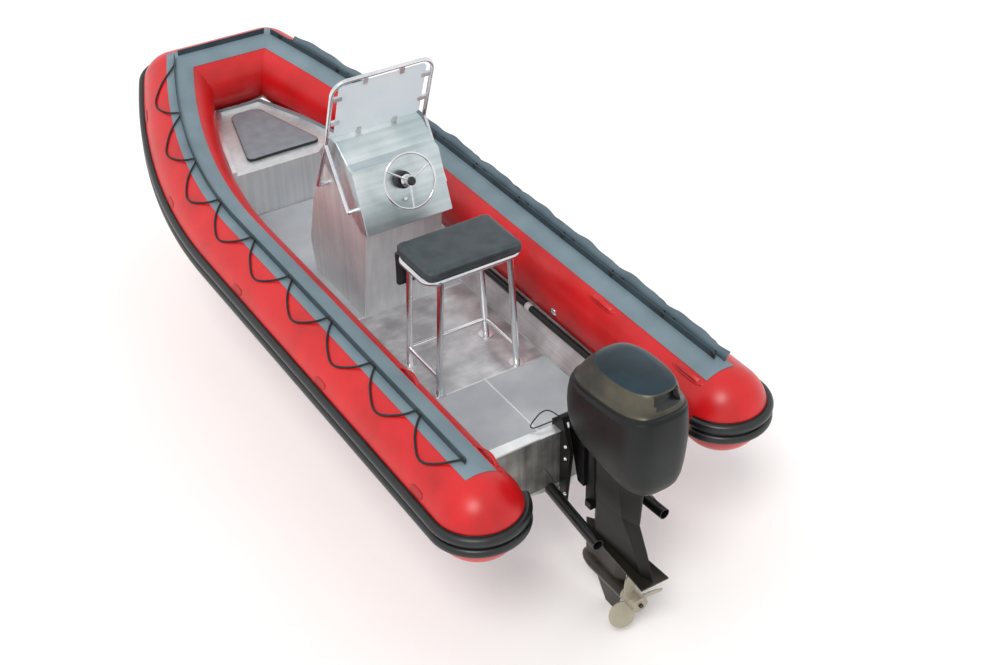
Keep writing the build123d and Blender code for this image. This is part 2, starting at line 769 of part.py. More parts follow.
# Engine clamp bracket: two arms that hook over the transom, drilled for the tilt pin
clamp_back = -cap_lip - seat_gap
clamp_front = cap_fore + seat_gap
clamp_seat = pad_cap_top + seat_gap
clamp_outline = [
    (-seat_gap, clamp_low_z),
    (-seat_gap, transom_top - cap_lip),
    (clamp_back, transom_top - cap_lip),
    (clamp_back, clamp_seat),
    (clamp_front, clamp_seat),
    (clamp_front, clamp_front_z),
    (clamp_front + clamp_hook, clamp_front_z),
    (clamp_front + clamp_hook, clamp_seat + clamp_head),
    (tilt_x + clamp_head, tilt_z),
    (tilt_x - clamp_head, tilt_z),
    (-clamp_reach, transom_top - clamp_reach),
    (-clamp_reach / 2, clamp_low_z),
]
arms = Part()
for side in (-1, 1):
    arm_middle = side * (clamp_half - clamp_thick / 2)
    arms += side_plate(clamp_outline, arm_middle, clamp_thick)
    arms += drum(tilt_x, arm_middle, tilt_z, clamp_head, clamp_thick)
pin_hole_length = 2 * clamp_half + overrun
pin_hole = drum(tilt_x, 0, tilt_z, tilt_pin_radius + running_gap, pin_hole_length)
save(arms - pin_hole, "clamp_bracket")

# Swivel bracket: tilt pin and boss, web, and the upright housing of the steering shaft
swivel_half = clamp_half - clamp_thick - seat_gap
swivel = drum(tilt_x, 0, tilt_z, tilt_pin_radius, 2 * clamp_half)
swivel += drum(tilt_x, 0, tilt_z, clamp_head, 2 * swivel_half)
swivel += rod((swivel_x, 0, swivel_low_z), (swivel_x, 0, swivel_top_z), swivel_radius)
web_low_z = swivel_low_z + clamp_reach
web_outline = [
    (tilt_x - clamp_head, tilt_z),
    (tilt_x - clamp_head * web_fore_share, tilt_z - clamp_head * (1 - web_fore_share)),
    (-clamp_reach, web_low_z),
    (swivel_x, web_low_z),
    (swivel_x, swivel_top_z),
    (swivel_x + swivel_radius + web_gap, swivel_top_z),
]
swivel += side_plate(web_outline, 0, 2 * swivel_half * web_share)
bore_low = (swivel_x, 0, swivel_low_z - overrun)
bore_high = (swivel_x, 0, swivel_top_z + clamp_reach)
save(swivel - rod(bore_low, bore_high, steer_radius + running_gap), "swivel_bracket")

# Steering shaft with its upper and lower mounts on the leg
upper_mount_z = swivel_top_z + seat_gap
lower_mount_z = swivel_low_z - seat_gap - mount_thick
steer_low = (swivel_x, 0, lower_mount_z)
steering = rod(steer_low, (swivel_x, 0, upper_mount_z + mount_thick), steer_radius)
mount_aft_x = leg_rows[1][1] + seat_gap
for low_z in (upper_mount_z, lower_mount_z):
    high_z = low_z + mount_thick
    steering += rod((swivel_x, 0, low_z), (swivel_x, 0, high_z), swivel_radius)
    steering += block((mount_aft_x, -mount_half, low_z), (swivel_x, mount_half, high_z))
save(steering, "steering_shaft")


# Cowl: rounded sections above a floor that falls aft, with an air intake in its aft end
def cowl_face(row):
    z, fore_x, aft_x, half, corner = row
    outline = RectangleRounded(fore_x - aft_x, 2 * half, corner)
    return Pos((fore_x + aft_x) / 2, 0, z) * outline


floor_tilt = radians(cowl_floor_deg)
floor_point = (cowl_floor_x, 0, cowl_floor_z)
cowl_floor = Plane(origin=floor_point, x_dir=(0, 1, 0), z_dir=(-sin(floor_tilt), 0, cos(floor_tilt)))
cowl_lower = loft([cowl_face(row) for row in cowl_lower_rows], ruled=True)
save(split(cowl_lower, bisect_by=cowl_floor, keep=Keep.TOP), "cowl_lower")
intake_x = cowl_upper_rows[-1][2]
intake_low = (intake_x - 2 * overrun, -intake_half, intake_low_z)
intake = block(intake_low, (intake_x + intake_depth, intake_half, intake_high_z))
cowl_upper = Pos(0, 0, seat_gap) * loft([cowl_face(row) for row in cowl_upper_rows], ruled=True)
save(cowl_upper - intake, "cowl_upper")
cowl_cap = loft([cowl_face(row) for row in cowl_cap_rows], ruled=True)
save(Pos(0, 0, 2 * seat_gap) * cowl_cap, "cowl_cap")


# Leg: faired sections that sweep aft to the plate
def leg_face(row):
    z, fore_x, aft_x, half = row
    nose, tail, edge = half * leg_nose_share, half * leg_tail_share, half * leg_edge_share
    port = [(fore_x, nose), (fore_x - half, half), (aft_x + 2 * half, tail), (aft_x, edge)]
    starboard = [(x, -y) for x, y in reversed(port)]
    return Plane.XY.offset(z) * make_face(Polyline(*port, *starboard, close=True))


leg = loft([leg_face(row) for row in leg_rows], ruled=True)
save(split(leg, bisect_by=cowl_floor.offset(-seat_gap), keep=Keep.BOTTOM), "engine_leg")

# Gearcase: torpedo, faired fin, skeg and the flat plate above the propeller
shaft_axis = Axis((0, 0, shaft_z), (1, 0, 0))
shaft_plane = Plane(origin=(0, 0, shaft_z), x_dir=(1, 0, 0), z_dir=(0, -1, 0))
nose_length = gear_nose_x - gear_fore_x
nose_centre = (gear_fore_x, 0)
torpedo_edges = [
    Line((gear_nose_x, 0), (gear_aft_x, 0)),
    Line((gear_aft_x, 0), (gear_aft_x, prop_hub_radius)),
    Line((gear_aft_x, prop_hub_radius), (gear_fore_x, gear_radius)),
    EllipticalCenterArc(nose_centre, nose_length, gear_radius, start_angle=0, arc_size=90),
]
torpedo_face = shaft_plane * make_face(torpedo_edges)
gearcase = revolve(torpedo_face, axis=shaft_axis, revolution_arc=360)
plate_top = leg_rows[-1][0] - seat_gap
plate_fore_half = plate_half * plate_fore_share
plate_corners = [
    (plate_fore_x, plate_fore_half),
    (plate_aft_x, plate_half),
    (plate_aft_x, -plate_half),
    (plate_fore_x, -plate_fore_half),
]
plate_face = make_face(Polyline(*plate_corners, close=True))
gearcase += extrude(Plane.XY.offset(plate_top - plate_thick) * plate_face, amount=plate_thick)


def gear_fin_face(row):
    z, nose_x, fore_x, aft_x, tail_x = row
    port = [(fore_x, fin_half), (aft_x, fin_half), (tail_x, fin_edge)]
    starboard = [(x, -y) for x, y in reversed(port)]
    return Plane.XY.offset(z) * make_face(Polyline((nose_x, 0), *port, *starboard, close=True))


gearcase += loft([gear_fin_face(row) for row in gear_fin_rows], ruled=True)
skeg_drop = skeg_z - shaft_z
skeg_points = [(x, shaft_z + skeg_drop * share) for x, share in skeg_outline]
gearcase += side_plate(skeg_points, 0, 2 * skeg_half)
prop_start = gear_aft_x - prop_gap
prop_end = prop_start - prop_length
shaft_end = (prop_end - prop_nut_length, 0, shaft_z)
gearcase += rod((gear_fore_x, 0, shaft_z), shaft_end, prop_shaft_radius)
save(gearcase, "gearcase")

# Propeller: a tapered hub with pitched blades
hub_outline = [
    (prop_start, 0),
    (prop_start, prop_hub_radius),
    (prop_end, prop_hub_aft_radius),
    (prop_end, 0),
]
hub_face = shaft_plane * make_face(Polyline(*hub_outline, close=True))
propeller = revolve(hub_face, axis=shaft_axis, revolution_arc=360)
blade_root = prop_hub_radius * blade_root_share
blade_half_length = (prop_radius - blade_root) / 2
blade_oval = Ellipse(prop_radius * blade_width_share, blade_half_length)
blade_face = Pos(0, blade_root + blade_half_length) * blade_oval
blade_middle = Vector(prop_start - prop_length * blade_place_share, 0, shaft_z)
pitch = radians(blade_pitch_deg)
for index in range(blade_count):
    angle = radians(blade_start_deg + index * 360 / blade_count)
    radial = Vector(0, cos(angle), sin(angle))
    chord = ahead * sin(pitch) + ahead.cross(radial) * cos(pitch)
    blade_plane = Plane(origin=blade_middle, x_dir=chord, z_dir=chord.cross(radial))
    propeller += extrude(blade_plane * blade_face, amount=blade_thick / 2, both=True)
bore_fore = (prop_start + overrun, 0, shaft_z)
prop_bore = rod(bore_fore, (prop_end - overrun, 0, shaft_z), prop_shaft_radius + running_gap)
save(propeller - prop_bore, "propeller")
print("all pieces written")
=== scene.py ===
# %% [markdown]
# # Dressing a rigid inflatable boat
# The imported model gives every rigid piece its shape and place. This lesson adds what the eye
# looks for next: coated fabric, rubber, brushed and welded aluminium, painted engine covers,
# soft pads, ropes and small fittings. Everything is in metres, +X forward, +Y port, +Z up.

# %% Load the model
from math import asin, atan2, cos, pi, radians, sin

import bmesh
import bpy
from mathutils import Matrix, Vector


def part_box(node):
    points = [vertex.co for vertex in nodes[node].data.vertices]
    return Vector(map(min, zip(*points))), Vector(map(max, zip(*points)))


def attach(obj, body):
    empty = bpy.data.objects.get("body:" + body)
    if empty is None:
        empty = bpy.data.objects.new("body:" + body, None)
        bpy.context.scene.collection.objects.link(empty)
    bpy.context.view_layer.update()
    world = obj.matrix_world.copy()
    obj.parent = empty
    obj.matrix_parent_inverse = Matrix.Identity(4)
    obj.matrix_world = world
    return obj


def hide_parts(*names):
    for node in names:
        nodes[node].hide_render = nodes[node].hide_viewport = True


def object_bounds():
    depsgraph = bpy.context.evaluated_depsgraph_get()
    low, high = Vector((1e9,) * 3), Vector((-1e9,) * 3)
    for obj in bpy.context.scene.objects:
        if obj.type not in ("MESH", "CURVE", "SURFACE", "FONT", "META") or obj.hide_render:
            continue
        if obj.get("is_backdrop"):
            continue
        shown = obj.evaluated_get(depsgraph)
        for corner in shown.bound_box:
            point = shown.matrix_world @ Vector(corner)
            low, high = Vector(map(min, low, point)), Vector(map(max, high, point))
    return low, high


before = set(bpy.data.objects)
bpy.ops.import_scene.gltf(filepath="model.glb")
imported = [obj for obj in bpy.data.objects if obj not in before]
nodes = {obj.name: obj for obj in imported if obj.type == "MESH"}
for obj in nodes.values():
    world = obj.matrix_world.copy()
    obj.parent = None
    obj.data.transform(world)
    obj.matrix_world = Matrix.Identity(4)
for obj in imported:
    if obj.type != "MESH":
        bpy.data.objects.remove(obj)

low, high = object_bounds()
cad_box = [list(low), list(high)]
print(len(nodes), "pieces in a box", [round(b - a, 3) for a, b in zip(low, high)])

# %% [markdown]
# ## Camera
# The boat was seen from above its port quarter. A lens of about 54 mm on a 36 mm sensor keeps
# the far bow in proportion to the near stern, so it is set before anything is judged.

# %% Camera
camera_data = bpy.data.cameras.new("camera")
camera_data.sensor_width = 36.0
camera_data.lens = 54.455
camera = bpy.data.objects.new("camera", camera_data)
camera.location = (-4.9561, 3.5187, 5.3016)
camera.rotation_euler = (radians(54.1332), radians(0.9111), radians(-122.3188))
bpy.context.scene.collection.objects.link(camera)
bpy.context.scene.camera = camera
print("camera at", [round(value, 2) for value in camera.location])

# %% [markdown]
# ## Colours and nodes
# Hex colours are written for a screen, and shaders work in linear light, so one function turns
# the one into the other. A second function adds a node, sets it and links what it is given.

# %% Colours
def linear(hex_colour):
    shares = [int(hex_colour[i:i + 2], 16) / 255 for i in (1, 3, 5)]
    return [s / 12.92 if s <= 0.04045 else ((s + 0.055) / 1.055) ** 2.4 for s in shares] + [1.0]


print("mid grey in linear light:", round(linear("#808080")[0], 3))

# %% Nodes
def add(tree, kind, settings=None, **inputs):
    made = tree.nodes.new(kind)
    for key, value in (settings or {}).items():
        setattr(made, key, value)
    for key, value in inputs.items():
        socket = made.inputs[int(key[1:]) if key[0] == "_" else key.replace("_", " ")]
        if isinstance(value, bpy.types.NodeSocket):
            tree.links.new(value, socket)
        else:
            socket.default_value = value
    return made


def ramp(tree, factor, *stops):
    """A colour ramp through pairs of place and hex colour."""
    made = add(tree, "ShaderNodeValToRGB", Fac=factor)
    elements = made.color_ramp.elements
    while len(elements) < len(stops):
        elements.new(0.5)
    for element, (place, colour) in zip(elements, stops):
        element.position = place
        element.color = linear(colour)
    return made.outputs["Color"]


def start_material(name):
    """A new material with its tree, its shader and the place on the object."""
    material = bpy.data.materials.new(name)
    material.use_nodes = True
    tree = material.node_tree
    shader = tree.nodes["Principled BSDF"]
    place = add(tree, "ShaderNodeTexCoord").outputs["Object"]
    return material, tree, shader, place


print("node helpers ready")

# %% [markdown]
# ## Noise, roughness and bump
# Nearly every finish varies in the same three ways: blotches of colour, a roughness that follows
# them, and a fine relief. Sizes are given in millimetres, so that they can be compared with the
# real thing.

# %% Noise, roughness and bump
def noise(tree, place, size_mm, detail=2.0, stretch=(1.0, 1.0, 1.0)):
    """Noise whose blotches are about size_mm across, drawn out along an axis by a small share."""
    spread = add(tree, "ShaderNodeMapping", Vector=place)
    spread.inputs["Scale"].default_value = stretch
    made = add(tree, "ShaderNodeTexNoise", Vector=spread.outputs["Vector"],
               Scale=1000.0 / size_mm, Detail=detail)
    return made.outputs["Fac"]


def finish_roughness(tree, shader, factor, smoothest, roughest):
    spread = add(tree, "ShaderNodeMapRange", Value=factor, To_Min=smoothest, To_Max=roughest)
    tree.links.new(spread.outputs["Result"], shader.inputs["Roughness"])


def finish_bump(tree, shader, height, depth_mm, strength=0.5):
    bump = add(tree, "ShaderNodeBump", Height=height, Distance=depth_mm / 1000.0, Strength=strength)
    tree.links.new(bump.outputs["Normal"], shader.inputs["Normal"])


print("finish helpers ready")

# %% [markdown]
# ## Coated tube fabric
# The air tubes are polyester cloth coated with coloured rubber or PVC and glued in long panels.
# The coating is satin, so it shows soft highlights, and the woven threads print through it as a
# fine grid. The real threads are under a millimetre apart, too fine to show from here, so the
# grid is drawn every 4 to 5 mm, and slow blotches keep the big surfaces from looking painted.

# %% Fabric finish
def coated_fabric(name, shade, body, lit, roughness, thread_mm, blotch_mm=240.0):
    material, tree, shader, place = start_material(name)
    blotch = noise(tree, place, blotch_mm, detail=5.0)
    colour = ramp(tree, blotch, (0.25, shade), (0.5, body), (0.8, lit))
    tree.links.new(colour, shader.inputs["Base Color"])
    waves = 1000.0 / thread_mm / 6.28       # the wave texture counts in radians
    warp = add(tree, "ShaderNodeTexWave", {"bands_direction": "X"}, Vector=place, Scale=waves,
               Distortion=0.3)
    weft = add(tree, "ShaderNodeTexWave", {"bands_direction": "DIAGONAL"}, Vector=place,
               Scale=waves, Distortion=0.3)
    grid = add(tree, "ShaderNodeMath", {"operation": "MULTIPLY"}, _0=warp.outputs["Fac"],
               _1=weft.outputs["Fac"])
    finish_bump(tree, shader, grid.outputs["Value"], 0.25, 0.35)
    finish_roughness(tree, shader, blotch, roughness - 0.06, roughness + 0.08)
    shader.inputs["IOR"].default_value = 1.5
    return material


red_fabric = coated_fabric("red_pvc_coated_polyester", "#b00c10", "#c71217", "#d61b20", 0.34, 5.0)
grey_fabric = coated_fabric("grey_reinforced_polyester", "#687b85", "#72858f", "#7d909a",
                            0.62, 4.0)
slate_fabric = coated_fabric("slate_reinforced_polyester", "#27363e", "#33434c", "#42545e",
                             0.6, 4.0)
# Painted light: a paler copy of the fin's slate fabric, so that the flap looks lit though it stands
# in shade.
flap_lightened_fabric = coated_fabric("slate_polyester_painted_light", "#4a5b65", "#5a6c76", "#697c86", 0.62, 4.0)
doubler_fabric = coated_fabric("dark_red_doubler_fabric", "#9a1014", "#a91418", "#b8191d",
                               0.42, 4.0)
print("fabrics:", red_fabric.name, grey_fabric.name, slate_fabric.name)

# %% [markdown]
# ## Rubber, plastic and vinyl
# Extruded rubber and moulded plastic are nearly the same to a shader: black, a touch of grey
# dust, an IOR of about 1.5. What differs is the grain, so one function takes its size in mm.

# %% Moulded finish
def moulded(name, shade, body, roughness, grain_mm, grain_depth_mm, ior=1.5):
    material, tree, shader, place = start_material(name)
    dust = noise(tree, place, 90.0, detail=6.0)
    tree.links.new(ramp(tree, dust, (0.35, shade), (0.75, body)), shader.inputs["Base Color"])
    finish_bump(tree, shader, noise(tree, place, grain_mm, 3.0), grain_depth_mm)
    finish_roughness(tree, shader, dust, roughness - 0.07, roughness + 0.1)
    shader.inputs["IOR"].default_value = ior
    return material


strake_rubber = moulded("extruded_black_rubber", "#0c0d0f", "#191c1f", 0.34, 14.0, 0.3, 1.52)
hose_rubber = moulded("ribbed_black_hose_rubber", "#0e0f10", "#1b1d1f", 0.45, 6.0, 0.5, 1.52)
black_plastic = moulded("moulded_black_abs", "#101112", "#1c1e20", 0.4, 3.0, 0.2, 1.54)
rope_fibre = moulded("black_braided_polyester_rope", "#121417", "#26292d", 0.75, 4.0, 0.8, 1.5)
grey_vinyl = moulded("grey_upholstery_vinyl", "#747a81", "#848b92", 0.55, 5.0, 0.35, 1.5)
charcoal_vinyl = moulded("charcoal_upholstery_vinyl", "#2b3338", "#3f494e", 0.5, 5.0, 0.35, 1.5)
black_vinyl = moulded("black_upholstery_vinyl", "#131517", "#22262a", 0.48, 5.0, 0.3, 1.5)
white_plastic = moulded("moulded_white_nylon", "#d4d6d6", "#e8e9e8", 0.4, 5.0, 0.1, 1.53)
print("moulded finishes:", strake_rubber.name, black_plastic.name)

# %% [markdown]
# ## Aluminium and steel
# Rolled or brushed aluminium keeps fine lines along the direction it was worked in. Noise drawn
# out along one axis gives those lines in colour, roughness and bump at once. A metal keeps the
# shader's own IOR, and its colour comes from the base colour alone. Sheet that has dulled in the
# air also scatters light from its oxide, so how bare its metal is stays a little under 1.

# %% Metal finish
line_share = 0.45       # how much the worked lines add to the stains
line_mean = 0.22        # about half of that, taken off again to keep the colours centred


def worked_metal(name, shade, body, lit, roughness, line_mm, stretch, blotch_mm=180.0, depth_mm=0.1,
                 bare=1.0):
    material, tree, shader, place = start_material(name)
    lines = noise(tree, place, line_mm, 4.0, stretch)
    stain = noise(tree, place, blotch_mm, 6.0)
    blend = add(tree, "ShaderNodeMath", {"operation": "MULTIPLY_ADD"}, _0=lines, _1=line_share,
                _2=stain)
    sunk = add(tree, "ShaderNodeMath", {"operation": "SUBTRACT"}, _0=blend.outputs["Value"],
               _1=line_mean)
    factor = sunk.outputs["Value"]
    colour = ramp(tree, factor, (0.3, shade), (0.5, body), (0.7, lit))
    tree.links.new(colour, shader.inputs["Base Color"])
    finish_bump(tree, shader, lines, depth_mm, 0.3)
    finish_roughness(tree, shader, factor, roughness - 0.08, roughness + 0.12)
    shader.inputs["Metallic"].default_value = bare
    return material


along = (0.03, 1.0, 1.0)
upright = (1.0, 1.0, 0.03)
plate_aluminium = worked_metal("rolled_aluminium_plate", "#bdbdbf", "#d3d3d5", "#e6e6e8",
                               0.38, 9.0, along, bare=0.8)
transom_aluminium = worked_metal("weathered_aluminium_plate", "#7a7876", "#92908d", "#aba9a6",
                                 0.42, 22.0, upright, 120.0)
bright_aluminium = worked_metal("milled_aluminium", "#d3d5d7", "#e4e6e8", "#f2f3f4",
                                0.33, 8.0, along, bare=0.8)
buffed_aluminium = worked_metal("buffed_aluminium_plate", "#b4b5b9", "#c9cacd", "#e4e5e8",
                                0.34, 40.0, (1.0, 0.5, 1.0), 150.0, bare=0.8)
console_aluminium = worked_metal("brushed_aluminium_sheet", "#c3c9cb", "#d5dadc", "#e8ebec",
                                 0.4, 30.0, upright, 500.0, bare=0.6)
dash_aluminium = worked_metal("cross_brushed_aluminium_sheet", "#a9b7bb", "#bfcbce", "#dbe2e4",
                              0.3, 34.0, (1.0, 0.04, 1.0), 420.0, bare=0.85)
polished_tube = worked_metal("polished_aluminium_tube", "#c2c5c8", "#dcdfe2", "#f0f2f3",
                             0.2, 6.0, (1.0, 1.0, 0.2), 400.0, 0.02)
chrome = worked_metal("polished_stainless_steel", "#c8cacc", "#d8dadc", "#e6e7e9",
                      0.09, 5.0, (1, 1, 1), 300.0, 0.01)
print("metals:", plate_aluminium.name, console_aluminium.name, chrome.name)

# %% [markdown]
# ## Non-slip deck
# The deck plates are aluminium with a light grey non-slip coat: paint with grit in it, about
# 2 mm coarse, drawn at 5 mm here. The coat is worn thin where people step, which shows as pale
# metallic blotches, so the metallic value stays low but the colour shifts.

# %% Deck coat
def grit_coat(name, shade, body, worn, grit_mm):
    material, tree, shader, place = start_material(name)
    scuffs = noise(tree, place, 330.0, 8.0)
    colour = ramp(tree, scuffs, (0.3, shade), (0.52, body), (0.75, worn))
    tree.links.new(colour, shader.inputs["Base Color"])
    grit = add(tree, "ShaderNodeTexVoronoi", Vector=place, Scale=1000.0 / grit_mm)
    finish_bump(tree, shader, grit.outputs["Distance"], 0.8, 0.4)
    finish_roughness(tree, shader, scuffs, 0.5, 0.7)
    shader.inputs["Metallic"].default_value = 0.25
    return material


deck_coat = grit_coat("grey_non_slip_deck_paint", "#a3aab1", "#b0b7bd", "#c2c8cd", 5.0)
print("deck:", deck_coat.name)

# %% [markdown]
# ## Engine paint
# The covers are moulded plastic and the leg is cast, both under paint with tiny metal flakes in
# it. The flakes are a fraction of a millimetre and only just alter the colour. The gearcase and
# propeller keep a trace of clear coat, a second, sharper highlight. Salt and handling have dulled
# the dark paints, so they reflect less than new ones.

# %% Lacquer finish
def lacquer(name, shade, body, roughness, metallic, coat, flake_mm=2.0, blotch_mm=200.0):
    material, tree, shader, place = start_material(name)
    flakes = noise(tree, place, flake_mm, 1.0)
    film = noise(tree, place, blotch_mm, 5.0)
    factor = add(tree, "ShaderNodeMath", {"operation": "MULTIPLY_ADD"}, _0=flakes, _1=0.3, _2=film)
    colour = ramp(tree, factor.outputs["Value"], (0.45, shade), (0.85, body))
    tree.links.new(colour, shader.inputs["Base Color"])
    finish_roughness(tree, shader, film, roughness - 0.05, roughness + 0.1)
    finish_bump(tree, shader, film, 0.3, 0.2)
    shader.inputs["Metallic"].default_value = metallic
    shader.inputs["Coat Weight"].default_value = coat
    shader.inputs["Coat Roughness"].default_value = 0.12
    return material


cowl_lacquer = lacquer("charcoal_metallic_lacquer", "#101212", "#1c1f1f", 0.4, 0.1, 0.0)
cap_lacquer = lacquer("blue_black_gloss_lacquer", "#15252d", "#213640", 0.32, 0.1, 0.0)
# Painted reflection: the belt faces up, and its champagne colour stands in for the pale light it
# reflects.
belt_reflection_lacquer = lacquer("belt_lacquer_painted_reflection", "#33332e", "#5c584b", 0.34, 0.6, 0.0)
leg_lacquer = lacquer("dark_bronze_marine_enamel", "#0c0c0c", "#151514", 0.38, 0.1, 0.0)
gear_lacquer = lacquer("bronze_grey_marine_enamel", "#1d1b18", "#3c382f", 0.3, 0.5, 0.1)
bracket_lacquer = lacquer("black_marine_enamel", "#050606", "#0c0d0e", 0.42, 0.0, 0.0)
propeller_lacquer = lacquer("worn_beige_grey_enamel", "#8f8a7a", "#a9a28e", 0.34, 0.35, 0.1,
                            3.0, 160.0)
dulled = 0.3            # specular level, where 0.5 is new paint
for dark in (cowl_lacquer, cap_lacquer, leg_lacquer, bracket_lacquer):
    dark.node_tree.nodes["Principled BSDF"].inputs["Specular IOR Level"].default_value = dulled
print("engine finishes:", cowl_lacquer.name, cap_lacquer.name)

# %% [markdown]
# ## Screen
# Acrylic sheet, IOR 1.49, coloured a nearly opaque pale blue-white that is a painted reflection
# of the bright surroundings: light comes through it only faintly, so it reads as an even,
# slightly cool white from every side.

# %% Acrylic
screen_reflection_acrylic, tree, shader, place = start_material("acrylic_sheet_painted_reflection")
wipes_and_reflection = noise(tree, place, 160.0, 3.0)
# Painted reflection: base colours near white, for the bright surroundings that the pane reflects.
tree.links.new(ramp(tree, wipes_and_reflection, (0.3, "#ecf7ff"), (0.7, "#f3fbff")), shader.inputs["Base Color"])
finish_roughness(tree, shader, wipes_and_reflection, 0.3, 0.4)
shader.inputs["Transmission Weight"].default_value = 0.2
shader.inputs["IOR"].default_value = 1.49
print("screen:", screen_reflection_acrylic.name)

# %% [markdown]
# ## Finishes on the rigid pieces
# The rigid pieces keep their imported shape. Each one gets the finish of the real part by name.

# %% Assign finishes
finishes = {
    red_fabric: ["tube_port", "tube_starboard", "tube_bow"],
    grey_fabric: ["wear_patch_port", "wear_patch_starboard", "wear_patch_bow"],
    slate_fabric: ["lacing_fin_port", "lacing_fin_starboard", "lacing_fin_bow"],
    strake_rubber: ["rub_strake_port", "rub_strake_starboard", "rub_strake_bow",
                    "drain_trunk_port", "drain_trunk_starboard", "conduit"],
    transom_aluminium: ["transom"],
    bright_aluminium: ["transom_cap", "bow_coaming"],
    plate_aluminium: ["hull", "windscreen_clips"],
    deck_coat: ["deck_aft_port", "deck_aft_starboard", "deck_forward"],
    buffed_aluminium: ["deck_middle"],
    console_aluminium: ["console_body", "bow_locker"],
    dash_aluminium: ["console_dash"],
    polished_tube: ["seat_frame", "windscreen_frame"],
    chrome: ["steering_wheel", "key_switch"],
    black_plastic: ["helm_pump"],
    screen_reflection_acrylic: ["windscreen"],
    bracket_lacquer: ["clamp_bracket", "swivel_bracket", "steering_shaft"],
    leg_lacquer: ["engine_leg"],
    gear_lacquer: ["gearcase"],
    propeller_lacquer: ["propeller"],
}
for finish, names in finishes.items():
    for name in names:
        nodes[name].data.materials.clear()
        nodes[name].data.materials.append(finish)
print(sum(len(names) for names in finishes.values()), "pieces finished")

# %% [markdown]
# ## Worn edges on folded sheet
# Folded and sawn sheet has no knife edges: a radius of a few millimetres catches a line of light
# along each fold. A weld joins the split corners first, and a bevel then rounds only sharp edges.

# %% Edge radius
weld_distance = 0.00005
fold_angle = radians(25)
for name, radius in (("console_body", 0.005), ("console_dash", 0.006), ("transom_cap", 0.003),
                     ("bow_locker", 0.004), ("transom", 0.002), ("windscreen_clips", 0.002)):
    weld = nodes[name].modifiers.new("weld", "WELD")
    weld.merge_threshold = weld_distance
    bevel = nodes[name].modifiers.new("edge_radius", "BEVEL")
    bevel.width, bevel.segments, bevel.limit_method = radius, 3, "ANGLE"
    bevel.angle_limit = fold_angle
    bevel.harden_normals = True
print("edges rounded")

# %% [markdown]
# ## Places on a side tube
# Small fittings sit on the tubes, so it helps to ask for a place by how far forward it is and
# by the angle round the tube: 0 is straight outboard and 90 is up. The tube runs straight, then
# turns on a 4.05 m arc in a plane that leans inwards.

# %% Tube places
tube_radius = 0.241
tube_y, tube_z = 0.760, 0.274
bend_start = 2.515
bend_radius = 4.052
bend_rise, bend_draw_in = 0.242, 0.421      # of the tube's centre, from the bend to the bow
bend_lean = atan2(bend_rise, bend_draw_in)
across = Vector((0.0, -cos(bend_lean), sin(bend_lean)))
upright_axis = Vector((1.0, 0.0, 0.0)).cross(across)


def tube_frame(x):
    """The centre of the port tube at x, with its outboard and upward directions there."""
    turn = asin(max(0.0, x - bend_start) / bend_radius)
    centre = Vector((min(x, bend_start), tube_y, tube_z))
    if turn > 0:
        centre += Vector((bend_radius * sin(turn), 0, 0)) + across * bend_radius * (1 - cos(turn))
    ahead = Vector((cos(turn), 0, 0)) + across * sin(turn)
    outboard = (Vector((sin(turn), 0, 0)) - across * cos(turn)) * cos(bend_lean)
    outboard += upright_axis * Vector((0, 1, 0)).dot(upright_axis)
    return centre, outboard.normalized(), ahead.cross(outboard).normalized(), ahead


def on_tube(x, degrees_round, radius, side=1):
    centre, outboard, up, _ = tube_frame(x)
    angle = radians(degrees_round)
    point = centre + (outboard * cos(angle) + up * sin(angle)) * radius
    return Vector((point.x, side * point.y, point.z))


print("top of the tube at 3 m:", [round(value, 3) for value in on_tube(3.0, 90, tube_radius)])

# %% [markdown]
# ## Making pieces
# Meshes come from points and faces. Round ropes and wires are curves with a bevel. Each piece is
# linked, rides on a body of the model and takes its finish.

# %% Pieces from meshes
def place_piece(piece, body, finish):
    if piece.name not in bpy.context.scene.collection.objects:
        bpy.context.scene.collection.objects.link(piece)
    piece.data.materials.clear()
    piece.data.materials.append(finish)
    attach(piece, body)
    return piece


def outward_mesh(name, points, faces):
    """A mesh from points and faces, with its faces turned outwards."""
    mesh = bpy.data.meshes.new(name)
    mesh.from_pydata([tuple(point) for point in points], [], faces)
    mesh.validate()
    turned = bmesh.new()
    turned.from_mesh(mesh)
    bmesh.ops.recalc_face_normals(turned, faces=turned.faces)
    turned.to_mesh(mesh)
    turned.free()
    return mesh


def mesh_piece(name, points, faces, body, finish, smooth=True):
    mesh = outward_mesh(name, points, faces)
    mesh.polygons.foreach_set("use_smooth", [smooth] * len(mesh.polygons))
    return place_piece(bpy.data.objects.new(name, mesh), body, finish)


print("mesh pieces ready")

# %% Pieces from curves
def round_line(name, points, radius, body, finish, closed=False):
    """A rope, wire or bent rod: one smooth spline with these control points."""
    curve = bpy.data.curves.new(name, "CURVE")
    curve.dimensions = "3D"
    curve.bevel_depth = radius
    curve.bevel_resolution = 3
    curve.resolution_u = 6
    curve.use_fill_caps = True
    spline = curve.splines.new("NURBS")
    spline.points.add(len(points) - 1)
    for control, point in zip(spline.points, points):
        control.co = (*point, 1.0)
    spline.order_u = 3
    spline.use_endpoint_u = not closed
    spline.use_cyclic_u = closed
    return place_piece(bpy.data.objects.new(name, curve), body, finish)


print("curve pieces ready")

# %% [markdown]
# ## Turned parts
# Rings, caps, valves and bolt heads are turned on a lathe, so each is an outline swept round an
# axis. The same faces between rings of points will also make the engine cover, and a slab with two
# outlines will make pads and flat bars.

# %% Turned parts
def ring_faces(rings, steps):
    """Faces between rings of points, each of so many steps, and a lid on both ends."""
    faces = []
    for row in range(rings - 1):
        for step in range(steps):
            a, b = row * steps + step, row * steps + (step + 1) % steps
            faces.append((a, b, b + steps, a + steps))
    faces.append(tuple(range(steps)))
    faces.append(tuple(range((rings - 1) * steps, rings * steps)))
    return faces


def slab_faces(count):
    """Faces of a slab between two outlines of so many points."""
    faces = [tuple(range(count)), tuple(range(count, 2 * count))]
    return faces + [(i, (i + 1) % count, (i + 1) % count + count, i + count) for i in range(count)]


